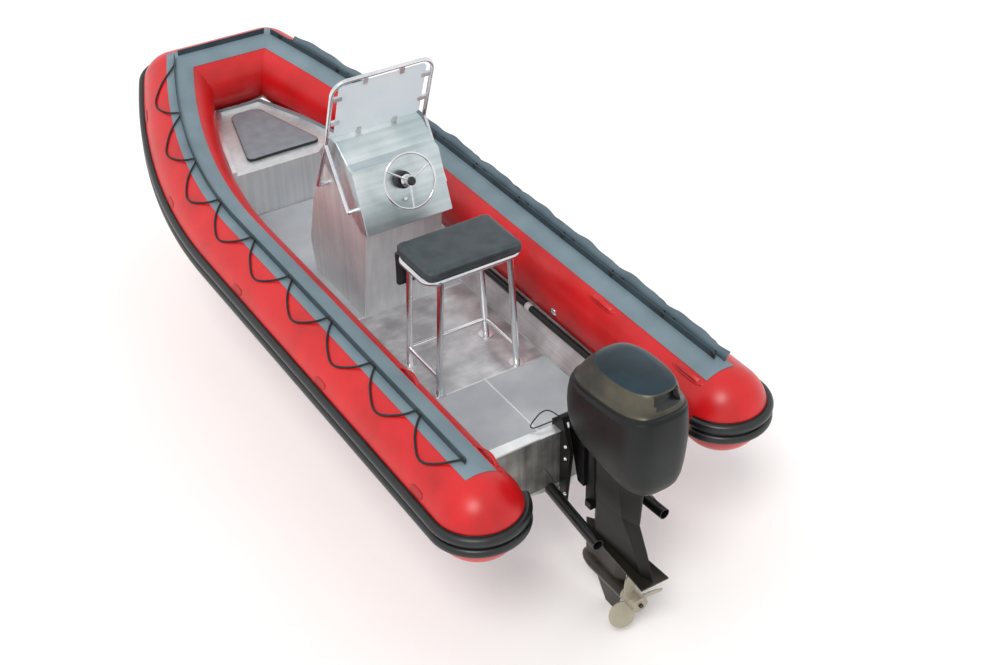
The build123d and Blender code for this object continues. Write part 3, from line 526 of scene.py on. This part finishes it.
def turned_piece(name, outline, centre, axis, body, finish, steps=32):
    """A part turned on a lathe. The outline is pairs of distance along the axis and radius."""
    turn = Vector((0, 0, 1)).rotation_difference(Vector(axis).normalized()).to_matrix()
    points = []
    for along_axis, radius in outline:
        for step in range(steps):
            angle = 2 * pi * step / steps
            ring = Vector((radius * cos(angle), radius * sin(angle), along_axis))
            points.append(Vector(centre) + turn @ ring)
    return mesh_piece(name, points, ring_faces(len(outline), steps), body, finish)


print("turned parts ready")

# %% [markdown]
# ## Padded pieces
# A pad is foam in a sewn vinyl cover: its faces crown and its sides bulge between the corners.
# Inflating a slightly small copy with cloth pressure gives that form. The cover is remeshed to
# even 6 mm cells first, the swell is capped, and the side that rests on something stays flat.
# Swelling draws the outline in, so the pad is stretched to fill its place again.

# %% Pad slabs
def pad_mesh(name, outline, thickness, normal):
    """A closed slab over an outline of points, raised from their plane along the normal."""
    rise = Vector(normal) * thickness
    points = [Vector(point) for point in outline] + [Vector(point) + rise for point in outline]
    piece = bpy.data.objects.new(name, outward_mesh(name, points, slab_faces(len(outline))))
    bpy.context.scene.collection.objects.link(piece)
    return piece


def applied(piece):
    """The piece's mesh with its modifiers made real."""
    shown = piece.evaluated_get(bpy.context.evaluated_depsgraph_get())
    mesh = bpy.data.meshes.new_from_object(shown)
    piece.modifiers.clear()
    piece.data = mesh
    return piece


print("pad slabs ready")

# %% Swelling
cell_size = 0.006
cover_pressure = 4.0
last_moment = 20


def inflate(piece, swell):
    """Puffs a slab up like foam in a cover, moving no point further than swell."""
    remesh = piece.modifiers.new("cells", "REMESH")
    remesh.mode, remesh.voxel_size = "VOXEL", cell_size
    applied(piece)
    start = [vertex.co.copy() for vertex in piece.data.vertices]
    cloth = piece.modifiers.new("cover", "CLOTH")
    cloth.settings.use_pressure = True
    cloth.settings.uniform_pressure_force = cover_pressure
    cloth.settings.effector_weights.gravity = 0.0
    for moment in range(1, last_moment + 1):
        bpy.context.scene.frame_set(moment)
    applied(piece)
    for vertex, before in zip(piece.data.vertices, start):
        moved = vertex.co - before
        if moved.length > swell:
            vertex.co = before + moved.normalized() * swell
    bpy.context.scene.frame_set(1)
    return piece


def flatten(piece, point, normal, top):
    """Presses the resting side flat, and holds the other side below top."""
    point, normal = Vector(point), Vector(normal)
    for vertex in piece.data.vertices:
        rise = (vertex.co - point).dot(normal)
        if rise < 0.0:
            vertex.co -= normal * rise
        if rise > top:
            vertex.co -= normal * (rise - top)
    smooth = piece.modifiers.new("smooth", "SUBSURF")
    smooth.levels = smooth.render_levels = 1
    applied(piece)
    piece.data.polygons.foreach_set("use_smooth", [True] * len(piece.data.polygons))
    return piece


print("swelling ready")

# %% Pad outlines
def fill_outline(piece, low, high, margin, axes):
    """Stretch a swollen pad about its middle until it fills its place again on two axes."""
    places = [vertex.co for vertex in piece.data.vertices]
    for axis in axes:
        least, most = min(p[axis] for p in places), max(p[axis] for p in places)
        share = (high[axis] - low[axis] - 2 * margin) / (most - least)
        for p in places:
            p[axis] = (low[axis] + high[axis]) / 2 + (p[axis] - (least + most) / 2) * share


def rounded(corners, radius, steps=6):
    """The outline through corners in order, each one rounded."""
    outline = []
    count = len(corners)
    for index, corner in enumerate(corners):
        corner = Vector(corner)
        before = (Vector(corners[index - 1]) - corner).normalized()
        after = (Vector(corners[(index + 1) % count]) - corner).normalized()
        for step in range(steps + 1):
            share = step / steps
            start, end = corner + before * radius, corner + after * radius
            outline.append(start * (1 - share) ** 2 + corner * 2 * share * (1 - share)
                           + end * share ** 2)
    return outline


print("pad outlines ready")

# %% [markdown]
# ## Helm seat cushion and front pad
# The seat top is a charcoal cushion with a piped edge, and a black pad hangs in front of it. Both
# are flat against the tube frame and crowned elsewhere. Each slab starts thinner than its place,
# swells by so much at the most, and may crown a little above the solid that it replaces.

# %% Seat top cushion
def underside(low, high, inset):
    """The corners of a box's lower face, each drawn in by the inset."""
    return [(low.x + inset, low.y + inset, low.z), (high.x - inset, low.y + inset, low.z),
            (high.x - inset, high.y - inset, low.z), (low.x + inset, high.y - inset, low.z)]


low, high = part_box("seat_cushion")
start_inset = 0.007         # each side of a pad starts this far inside, because it swells
piping_inset, piping_height, piping_radius = 0.001, 0.034, 0.0035
corner_radius, thinner, swell, crown = 0.05, 0.008, 0.012, 0.004
cushion = pad_mesh("seat_top_cushion", rounded(underside(low, high, start_inset), corner_radius),
                   high.z - low.z - thinner, (0, 0, 1))
inflate(cushion, swell)
flatten(cushion, low, (0, 0, 1), high.z - low.z + crown)
fill_outline(cushion, low, high, -0.004, (0, 1))
place_piece(cushion, "boat", charcoal_vinyl)
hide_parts("seat_cushion")
piping = [(p.x, p.y, low.z + piping_height)
          for p in rounded(underside(low, high, piping_inset), 0.055, 8)]
round_line("seat_cushion_piping", piping, piping_radius, "boat", black_vinyl,
           True)
print("seat cushion:", len(cushion.data.vertices), "points")

# %% Seat front pad
low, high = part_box("seat_front_pad")
bottom, top = low.z + start_inset, high.z - start_inset
starboard, port = low.y + start_inset, high.y - start_inset
corners = [(low.x, starboard, bottom), (low.x, port, bottom), (low.x, port, top),
           (low.x, starboard, top)]
corner_radius, thinner, swell, crown = 0.03, 0.006, 0.008, 0.003
front_pad = pad_mesh("seat_front_cushion", rounded(corners, corner_radius),
                     high.x - low.x - thinner, (1, 0, 0))
inflate(front_pad, swell)
flatten(front_pad, low, (1, 0, 0), high.x - low.x + crown)
fill_outline(front_pad, low, high, 0.002, (1, 2))
place_piece(front_pad, "boat", black_vinyl)
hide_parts("seat_front_pad")
print("front pad:", len(front_pad.data.vertices), "points")

# %% [markdown]
# ## Bow pad
# The locker's lid carries a tapering grey pad with black sides, so its cover is two finishes of
# vinyl, split by how far a face leans away from straight up. The pad reaches almost to the edges
# of the lid.

# %% Bow pad
low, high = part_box("bow_pad")
pad_corners = [(3.485, 0.250), (4.125, 0.100), (4.125, -0.100), (3.485, -0.250)]
pad_low, pad_high = Vector((3.470, -0.262, 0)), Vector((4.130, 0.262, 0))
least_top_rise = 0.6        # of a face's normal, below which the face is a side
corners = [(x, y, low.z) for x, y in reversed(pad_corners)]
corner_radius, thinner, swell, crown = 0.06, 0.004, 0.009, 0.004
bow_pad = pad_mesh("bow_locker_cushion", rounded(corners, corner_radius),
                   high.z - low.z - thinner, (0, 0, 1))
inflate(bow_pad, swell)
flatten(bow_pad, low, (0, 0, 1), high.z - low.z + crown)
fill_outline(bow_pad, pad_low, pad_high, 0.0, (0, 1))
place_piece(bow_pad, "boat", grey_vinyl)
bow_pad.data.materials.append(black_vinyl)
for face in bow_pad.data.polygons:
    face.material_index = 0 if face.normal.z > least_top_rise else 1
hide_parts("bow_pad")
print("bow pad:", len(bow_pad.data.vertices), "points")

# %% [markdown]
# ## Rigging hose
# A black hose leaves the conduit's white end and lies along the gutter to the transom. It is one
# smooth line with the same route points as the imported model, in metres.

# %% Hose and its white end
hose_route = [(1.2497, -0.5250, 0.1244), (1.0100, -0.5255, 0.1270), (0.7600, -0.5240, 0.1340),
              (0.5000, -0.5140, 0.1480), (0.2600, -0.4920, 0.1720), (0.0510, -0.4560, 0.2120)]
hose_radius = 0.021
hose = round_line("rigging_hose_line", hose_route, hose_radius, "boat", hose_rubber)
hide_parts("rigging_hose")
ferrule = [(-0.022, 0.0225), (-0.020, 0.0255), (0.020, 0.0255), (0.022, 0.0225)]
turned_piece("conduit_end_ring", ferrule, (1.262, -0.525, 0.1244), (1, 0, 0), "boat",
             white_plastic)

# %% [markdown]
# ## Lifelines and eyelets
# A black rope is rove through eyelets along each lacing fin and hangs in loops outside the tube
# between them, for a swimmer to hold. It is one line a side. From each eyelet it drops down the
# tube's skin, turns near the aft eyelet and runs slowly up and forward to the next. Its length
# is read from the finished curve.

# %% Rope route
eyelet_places = [-0.135, 0.30, 0.78, 1.27, 1.76, 2.26, 2.77, 3.29, 3.82, 4.34]
eyelet_radius = 0.268       # from the tube's centre
eyelet_angle = 89.0
rope_radius = 0.006
eyelet_run = 0.020          # half of the short straight through an eyelet
# Columns: share of the way forward to the next eyelet, angle round the tube, distance off its skin
loop_shape = [(0.08, 77.5, 0.016), (0.17, 67.0, 0.008), (0.29, 57.0, 0.007), (0.38, 53.0, 0.007),
              (0.48, 53.0, 0.007), (0.62, 60.0, 0.007), (0.78, 69.5, 0.008), (0.90, 82.0, 0.018)]


def line_length(curve_piece):
    """The length of a curve, read from its line with no thickness."""
    line = curve_piece.data.copy()
    line.bevel_depth = 0.0
    traced = bpy.data.objects.new("traced_line", line)
    mesh = bpy.data.meshes.new_from_object(traced)
    length = sum((mesh.vertices[a].co - mesh.vertices[b].co).length
                 for a, b in (edge.vertices for edge in mesh.edges))
    bpy.data.objects.remove(traced)
    bpy.data.meshes.remove(mesh)
    return length


def rope_route(side):
    """Points along one side's rope, through its eyelets and loops."""
    route = []
    for index, x in enumerate(eyelet_places):
        ends = (x,) if index in (0, len(eyelet_places) - 1) else (x - eyelet_run, x + eyelet_run)
        route += [on_tube(place, eyelet_angle, eyelet_radius, side) for place in ends]
        if index + 1 < len(eyelet_places):
            reach = eyelet_places[index + 1] - x
            for share, angle, off in loop_shape:
                route.append(on_tube(x + reach * share, angle, tube_radius + off, side))
    return route


print("route of", len(rope_route(1)), "points")

# %% Lifelines
eyelet_outline = [(-0.0065, 0.007), (-0.0065, 0.015), (-0.0045, 0.017), (0.0045, 0.017),
                  (0.0065, 0.015), (0.0065, 0.007)]
for side, name in ((1, "port"), (-1, "starboard")):
    route = rope_route(side)
    lifeline = round_line(f"lifeline_{name}", route, rope_radius, "boat", rope_fibre)
    lifeline_length = line_length(lifeline)
    print(name, "lifeline", round(lifeline_length, 2), "m")
    for index, x in enumerate(eyelet_places):
        _, outboard, _, _ = tube_frame(x)
        turned_piece(f"eyelet_{name}_{index + 1}", eyelet_outline,
                     on_tube(x, eyelet_angle, eyelet_radius, side),
                     (outboard.x, side * outboard.y, outboard.z), "boat", black_plastic,
                     20)
print("lifelines with", len(eyelet_places), "eyelets a side")

# %% [markdown]
# ## Standing flap
# On the starboard side the fin's loose upper flap stands up and waves a little. It is a single
# sheet of doubled fabric, so a thin strip of faces is enough: two waves of different length change
# its height, and it leans outboard more towards its top.

# %% Standing flap
flap_aft, flap_fore, flap_steps = -0.19, 4.27, 150
flap_angle = 80.6           # of its foot, in degrees round the tube
flap_height, flap_thickness = 0.056, 0.0025
points, faces = [], []
for step in range(flap_steps + 1):
    x = flap_aft + (flap_fore - flap_aft) * step / flap_steps
    _, outboard, up, _ = tube_frame(x)
    height = flap_height * (1 + 0.10 * sin(12.8 * x) + 0.06 * sin(29.0 * x + 1.0))
    for share in (0.0, 0.5, 1.0):
        raised = up * height * share * (0.878 - 0.015 * share)
        leaned = outboard * height * share * (0.403 + 0.250 * share)
        point = on_tube(x, flap_angle, tube_radius + 0.003) + raised + leaned
        points.append((point.x, -point.y, point.z))
    if step:
        for row in (0, 1):
            a = 3 * step + row
            faces.append((a, a + 1, a - 2, a - 3))
flap = mesh_piece("lacing_flap_starboard", points, faces, "boat", flap_lightened_fabric)
thick = flap.modifiers.new("thickness", "SOLIDIFY")
thick.thickness, thick.offset = flap_thickness, 0.0
print("flap", round(flap_fore - flap_aft, 2), "m long")

# %% [markdown]
# ## Engine cover
# The cover is one smooth moulding in three finishes: a dark body, a belt that turns in above a
# raised line, and a blue-black cap. The belt's champagne colour is a painted reflection of the
# pale surroundings on its upward face. It follows the imported sections, joined by smooth curves
# in place of straight ones.

# %% Cover sections
# Columns: height, fore x, aft x, half width
cover_rows = [(0.335, -0.115, -0.700, 0.156), (0.450, -0.090, -0.728, 0.182),
              (0.570, -0.074, -0.738, 0.198), (0.710, -0.076, -0.742, 0.204),
              (0.850, -0.125, -0.728, 0.190), (0.960, -0.222, -0.702, 0.146),
              (0.980, -0.248, -0.682, 0.128), (0.9935, -0.305, -0.630, 0.082)]
cover_foot, cover_top = cover_rows[0][0], cover_rows[-1][0]


def section_at(height):
    """Fore x, aft x and half width at a height, by a smooth curve through the rows."""
    last = len(cover_rows) - 1
    index = max(0, min(last - 1, sum(row[0] <= height for row in cover_rows) - 1))
    lower, upper = cover_rows[index], cover_rows[index + 1]
    before, after = cover_rows[max(index - 1, 0)], cover_rows[min(index + 2, last)]
    span = upper[0] - lower[0]
    share = (height - lower[0]) / span
    squared, cubed = share ** 2, share ** 3
    values = []
    for column in (1, 2, 3):
        start, end = lower[column], upper[column]
        slope_a = (end - before[column]) / (upper[0] - before[0]) * span
        slope_b = (after[column] - start) / (after[0] - lower[0]) * span
        values.append(start * (2 * cubed - 3 * squared + 1)
                      + slope_a * (cubed - 2 * squared + share)
                      + end * (3 * squared - 2 * cubed) + slope_b * (cubed - squared))
    return values


print("cover at 0.8 m:", [round(value, 3) for value in section_at(0.8)])

# %% [markdown]
# ## Slopes of the cover
# Seen from the side, the lower edge slants and the raised line climbs aft, while the middle and
# the crown are level. So each ring of points has a tilt of its own. Seen from above, a ring is a
# circle drawn out to a rounded rectangle by raising its sine and cosine to a power.

# %% Cover slopes
edge_x, edge_z, edge_slope = -0.080, 0.460, 0.1853      # of the slanting lower edge
skirt_top = 0.570           # where the rings are level again
level_until = 0.710
raised_line, line_tilt = 0.81, 0.10
cap_line, cap_tilt = 0.967, 0.05
tilt_middle = -0.42
body_squareness, cap_squareness, rounder_above = 3.3, 2.7, 0.86


def cover_tilt(height):
    """How steeply a ring rises aft: most at the raised line, none at the top or low down."""
    if height < raised_line:
        return line_tilt * max(0.0, (height - level_until) / (raised_line - level_until))
    if height < cap_line:
        share = (height - raised_line) / (cap_line - raised_line)
        return line_tilt + (cap_tilt - line_tilt) * share
    return cap_tilt * (cover_top - height) / (cover_top - cap_line)


def cover_point(height, inset, angle, level):
    """Where the ring of this height passes, with its section taken at the level it tilts to."""
    fore, aft, half = section_at(min(level, cover_top))
    ahead, side = cos(angle), sin(angle)
    power = 2.0 / (body_squareness if height < rounder_above else cap_squareness)
    half_length = (fore - aft) / 2 - inset
    x = (fore + aft) / 2 + half_length * abs(ahead) ** power * (1 if ahead > 0 else -1)
    y = (half - inset) * abs(side) ** power * (1 if side > 0 else -1)
    return x, y


print("tilt at the raised line:", round(cover_tilt(raised_line), 3))

# %% [markdown]
# ## Skin of the cover
# Rings of points at chosen heights make the raised line and the rim sharp, and everything between
# them soft. Where two rings are close together the edge is tight.

# %% Cover skin
# Columns: height, how far the ring stands in from the section, finish of the faces above it,
# which is 0 for the body, 1 for the cap and 2 for the belt
cover_rings = [(0.335, 0.050, 0), (0.340, 0.040, 0), (0.372, 0.011, 0), (0.40, 0.002, 0),
               (0.45, 0, 0), (0.50, 0, 0), (0.57, 0, 0), (0.64, 0, 0), (0.71, 0, 0),
               (0.77, 0, 0), (0.80, 0, 0), (0.812, 0.0, 0), (0.817, 0.005, 0),
               (0.835, 0.007, 0), (0.841, 0.004, 0), (0.845, 0.009, 2), (0.872, 0.008, 2),
               (0.904, 0.006, 2), (0.940, 0.004, 2), (0.962, 0.003, 2), (0.967, 0.001, 1),
               (0.971, 0.003, 1), (0.979, 0.003, 1), (0.987, 0.003, 1), (0.9935, 0.003, 1)]
around = 72
points = []
for height, inset, _ in cover_rings:
    for step in range(around):
        angle = 2 * pi * step / around
        x, y = cover_point(height, inset, angle, height)
        for _ in range(3):      # each go brings the point nearer to its place on the tilted ring
            z = height + cover_tilt(height) * (tilt_middle - x)
            x, y = cover_point(height, inset, angle, z)
        if height < skirt_top:
            share = (height - cover_foot) / (skirt_top - cover_foot)
            z = (edge_z + (x - edge_x) * edge_slope) * (1 - share) + skirt_top * share
        points.append((x, y, z))
cover = mesh_piece("engine_cover", points, ring_faces(len(cover_rings), around), "engine",
                   cowl_lacquer)
for finish in (cap_lacquer, belt_reflection_lacquer, black_plastic):
    cover.data.materials.append(finish)
underneath = around * (len(cover_rings) - 1)
for index, face in enumerate(cover.data.polygons):
    ring = min(index // around, len(cover_rings) - 2)
    face.material_index = 0 if index == underneath else cover_rings[ring][2]
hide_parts("cowl_lower", "cowl_upper", "cowl_cap")
print("engine cover:", len(cover.data.polygons), "faces")

# %% [markdown]
# ## Air intake
# The cover is open over the air intake at the back. The faces there are inset for a rim, pushed
# forward into the cover for a recess, and the old ones are taken away. The recess is given the
# black finish, which paints the shade inside it.

# %% Air intake
mouth_x, mouth_y, mouth_z = -0.66, (-0.095, 0.066), (0.905, 0.974)
mouth_rim, mouth_depth = 0.004, 0.050
# The recessed faces are black as painted shade inside the intake.
throat_shade_slot = 3                  # the cover's slot of black plastic


def in_mouth(face):
    """Whether a face is where the intake opens."""
    x, y, z = face.calc_center_median()
    return x < mouth_x and mouth_y[0] < y < mouth_y[1] and mouth_z[0] < z < mouth_z[1]


shaped = bmesh.new()
shaped.from_mesh(cover.data)
mouth = [face for face in shaped.faces if in_mouth(face)]
bmesh.ops.inset_region(shaped, faces=mouth, thickness=mouth_rim, depth=0.0)
pushed = bmesh.ops.extrude_face_region(shaped, geom=mouth)
moved = [item for item in pushed["geom"] if isinstance(item, bmesh.types.BMVert)]
bmesh.ops.translate(shaped, verts=moved, vec=(mouth_depth, 0, 0))
bmesh.ops.delete(shaped, geom=[face for face in mouth if face.is_valid], context="FACES")
for face in {face for item in moved for face in item.link_faces}:
    face.material_index = throat_shade_slot
for face in shaped.faces:
    face.smooth = True
bmesh.ops.recalc_face_normals(shaped, faces=shaped.faces)
shaped.to_mesh(cover.data)
shaped.free()
print("intake of", len(mouth), "faces")

# %% [markdown]
# ## Strips and plates
# Flat bars close the deck's seams and edge the locker. A bar is an extruded rectangle with its two
# upper edges taken off, so it is made from a six-sided section along a line.

# %% Flat bars
edge_share = 0.3            # of the bar's thickness, taken off each upper edge


def flat_bar(name, start, end, width, height, body, finish, up=(0, 0, 1)):
    start, end, up = Vector(start), Vector(end), Vector(up).normalized()
    along_bar = (end - start).normalized()
    side = along_bar.cross(up).normalized()
    edge = min(width, height) * edge_share
    section = [(-width / 2, 0), (width / 2, 0), (width / 2, height - edge),
               (width / 2 - edge, height), (-width / 2 + edge, height), (-width / 2, height - edge)]
    points = [end_point + side * a + up * b for end_point in (start, end) for a, b in section]
    return mesh_piece(name, points, slab_faces(len(section)), body, finish, smooth=False)


print("bar maker ready")

# %% Deck and locker bars
deck_top = -0.0148
seam_width, seam_height = 0.011, 0.002
bars = [((0.052, -0.022), (0.960, -0.022)), ((0.963, -0.447), (0.963, 0.447)),
        ((0.052, -0.441), (1.890, -0.441)), ((0.052, 0.441), (1.890, 0.441)),
        ((1.893, -0.430), (1.893, 0.430))]
for index, (start, end) in enumerate(bars):
    flat_bar(f"deck_seam_{index + 1}", (*start, deck_top), (*end, deck_top), seam_width,
             seam_height, "boat", bright_aluminium)
low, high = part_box("bow_coaming")
strip_z = high.z + 0.0002
strip_width, strip_height = 0.030, 0.003
strip_line = [(3.40, -0.410), (3.84, -0.290), (4.210, -0.152), (4.210, 0.170)]
for index, (start, end) in enumerate(zip(strip_line, strip_line[1:])):
    flat_bar(f"coaming_strip_{index + 1}", (*start, strip_z), (*end, strip_z), strip_width,
             strip_height, "boat", grey_fabric)
print(len(bars), "deck bars and", len(strip_line) - 1, "coaming strips")

# %% [markdown]
# ## Grab handles, patches and valves
# Each handle is a strap of the tube's red fabric, glued at its ends and bowed clear of the skin
# between them. Oval doublers on the outer skin spread the pull of the lifeline, and a metal
# valve with a cap lets air into each chamber. All follow the tube's round skin.

# %% Skin patches
rows, columns = 20, 8
glued_thickness, strap_thickness = 0.0012, 0.003
least_spread = 0.02         # keeps an oval's two ends from closing to a point


def skin_patch(name, x_middle, angle, size, off, finish, side, bow=0.0):
    """An oval or strap on the tube's skin. Bow lifts its middle off the skin."""
    length, width = size
    points, faces = [], []
    for row in range(rows + 1):
        along_patch = -1 + 2 * row / rows
        spread = (1 - abs(along_patch) ** 2.6) ** 0.5 if bow == 0 else 1.0
        for column in range(columns + 1):
            across_patch = (-1 + 2 * column / columns) * max(spread, least_spread)
            edge = 1 - max(abs(across_patch), abs(along_patch)) ** 6
            lift = off * (0.25 + 0.75 * edge) + bow * cos(along_patch * pi / 2) ** 1.2
            points.append(on_tube(x_middle + along_patch * length / 2,
                                  angle + across_patch * width / 2 / tube_radius * 180 / pi,
                                  tube_radius + lift, side))
    for row in range(rows):
        for column in range(columns):
            a = row * (columns + 1) + column
            faces.append((a, a + 1, a + columns + 2, a + columns + 1))
    piece = mesh_piece(name, points, faces, "boat", finish)
    solid = piece.modifiers.new("thickness", "SOLIDIFY")
    solid.thickness, solid.offset = glued_thickness if bow == 0 else strap_thickness, 0.0
    return piece


print("patch maker ready")

# %% Tube fittings
doubler_places, doubler_angle = (-0.036, 0.996, 2.063, 3.149, 4.05), 22.61
doubler_size = (0.12, 0.045)
handle_places, handle_angle, handle_size = (-0.114, 0.66), 125.61, (0.19, 0.028)
base_size = (0.26, 0.06)
patch_rise, handle_rise, handle_bow = 0.003, 0.005, 0.022
valve_x, valve_angle = 1.0, 187.61
valve_outline = [(-0.004, 0.028), (0.003, 0.028), (0.004, 0.018), (0.007, 0.016), (0.009, 0.012),
                 (0.009, 0.001)]
for side, name in ((1, "port"), (-1, "starboard")):
    for index, x in enumerate(doubler_places):
        skin_patch(f"doubler_{name}_{index + 1}", x, doubler_angle, doubler_size, patch_rise,
                   doubler_fabric, side)
    for index, x in enumerate(handle_places):
        skin_patch(f"handle_base_{name}_{index + 1}", x, handle_angle, base_size, patch_rise,
                   red_fabric, side)
        skin_patch(f"handle_{name}_{index + 1}", x, handle_angle, handle_size, handle_rise,
                   red_fabric, side, bow=handle_bow)
    valve_foot = on_tube(valve_x, valve_angle, tube_radius, side)
    valve_out = on_tube(valve_x, valve_angle, 0.26, side) - valve_foot
    turned_piece(f"valve_{name}", valve_outline, valve_foot, valve_out, "boat", chrome)
print("doublers, handles and valves placed")

# %% [markdown]
# ## Small rigging and helm details
# A thin wire loop stands on the transom's cap beside the engine, a light cord holds up each drain
# trunk, and bolt heads show where the bracket is through-bolted. They are round lines and lathe
# outlines, each a few points.

# %% Wires and bolts
wire_radius, cord_radius = 0.0035, 0.0022
wire_route = [(0.045, 0.080, 0.372), (0.105, 0.100, 0.396), (0.118, 0.150, 0.392),
              (0.104, 0.200, 0.372), (0.088, 0.236, 0.362), (0.068, 0.246, 0.360),
              (0.056, 0.228, 0.361), (0.050, 0.170, 0.366), (0.045, 0.105, 0.370)]
round_line("transom_wire", wire_route, wire_radius, "boat", hose_rubber)
bolt_outline = [(0.0, 0.011), (0.002, 0.0125), (0.004, 0.010), (0.0045, 0.008), (0.010, 0.008),
                (0.0115, 0.006), (0.0115, 0.0005)]
bolt_x, bolt_y, bolt_heights = -0.055, 0.1122, (0.26, 0.18, -0.06)
for side, name in ((1, "port"), (-1, "starboard")):
    cord_route = [(-0.004, side * 0.205, 0.12), (-0.10, side * 0.206, 0.085),
                  (-0.30, side * 0.207, 0.03), (-0.462, side * 0.2075, -0.003)]
    round_line(f"trunk_cord_{name}", cord_route, cord_radius, "boat", rope_fibre)
    for index, z in enumerate(bolt_heights):
        turned_piece(f"bracket_bolt_{name}_{index + 1}", bolt_outline, (bolt_x, side * bolt_y, z),
                     (0, side, 0), "boat", chrome, 20)
print("wire, cords and", 2 * len(bolt_heights), "bolts placed")

# %% [markdown]
# ## Wheel hub
# The wheel's hub has a black cap, and a bright collar stands round its shaft on the panel. Both
# are turned about the shaft, which leaves the sloping panel at a right angle.

# %% Wheel hub
panel_up = Vector((0.140, 0, 0.357)).normalized()
panel_out = Vector((-panel_up.z, 0, panel_up.x))
wheel_centre = Vector((1.6963, 0, 0.9543))
hub_half, collar_drop = 0.0213, 0.066
hub_face = wheel_centre + panel_out * hub_half
collar_foot = hub_face - panel_out * collar_drop
cap_outline = [(0.0, 0.0245), (0.003, 0.026), (0.006, 0.0245), (0.007, 0.018), (0.0075, 0.001)]
turned_piece("wheel_hub_cap", cap_outline, hub_face, panel_out, "wheel", black_plastic)
collar_outline = [(0.0, 0.036), (0.006, 0.036), (0.008, 0.033), (0.008, 0.012)]
turned_piece("helm_collar", collar_outline, collar_foot, panel_out, "boat", chrome)
print("hub cap and collar placed")

# %% [markdown]
# ## Floor
# A plain pale floor, just below the boat's lowest point, carries its shadow.

# %% Floor
floor_z = cad_box[0][2] - 0.002
floor_half = 40
floor_corners = [(-floor_half, -floor_half, floor_z), (floor_half, -floor_half, floor_z),
                 (floor_half, floor_half, floor_z), (-floor_half, floor_half, floor_z)]
mesh = bpy.data.meshes.new("floor")
mesh.from_pydata(floor_corners, [], [(0, 1, 2, 3)])
floor = bpy.data.objects.new("floor", mesh)
bpy.context.scene.collection.objects.link(floor)
floor_paint, tree, shader, place = start_material("matt_white_studio_floor")
tree.links.new(ramp(tree, noise(tree, place, 900.0), (0.3, "#f9f9f9"), (0.7, "#fbfbfb")),
               shader.inputs["Base Color"])
shader.inputs["Roughness"].default_value = 0.9
shader.inputs["Specular IOR Level"].default_value = 0.2
floor.data.materials.append(floor_paint)
floor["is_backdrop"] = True
print("floor at", round(floor_z, 3))

# %% [markdown]
# ## Surroundings and sun
# The pale surroundings light the boat from all round, at a level at which a colour renders about
# as it is written. To the camera, in metal and through the screen they are plain white. A soft sun
# stands high over the port quarter and gives the shadow its side.

# %% Surroundings and sun
light_level, white_level = 0.88, 1.0
world = bpy.data.worlds.new("surroundings")
world.use_nodes = True
tree = world.node_tree
sky = tree.nodes["Background"]
sky.inputs["Color"].default_value = (0.995, 0.998, 1.0, 1.0)
rays = add(tree, "ShaderNodeLightPath")
seen = rays.outputs["Is Camera Ray"]
for kind in ("Is Transmission Ray", "Is Glossy Ray"):
    seen = add(tree, "ShaderNodeMath", {"operation": "MAXIMUM"}, _0=seen,
               _1=rays.outputs[kind]).outputs["Value"]
level = add(tree, "ShaderNodeMapRange", Value=seen, To_Min=light_level, To_Max=white_level)
tree.links.new(level.outputs["Result"], sky.inputs["Strength"])
bpy.context.scene.world = world

sun_data = bpy.data.lights.new("soft_sun", "SUN")
sun_data.energy = 1.3
sun_data.angle = radians(22)
sun_data.color = (1.0, 0.97, 0.92)
sun = bpy.data.objects.new("soft_sun", sun_data)
sun.rotation_mode = "QUATERNION"
sun.rotation_quaternion = Vector((0.45, -0.5, -1.0)).to_track_quat("-Z", "Y")
bpy.context.scene.collection.objects.link(sun)
bpy.context.scene.view_settings.view_transform = "Standard"
print("sun of strength", sun_data.energy)

# %% [markdown]
# ## Sizes
# The dressed boat's box is printed, as the imported model's was after loading.

# %% Sizes and finish
low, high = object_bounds()
print("dressed box", [round(b - a, 3) for a, b in zip(low, high)])
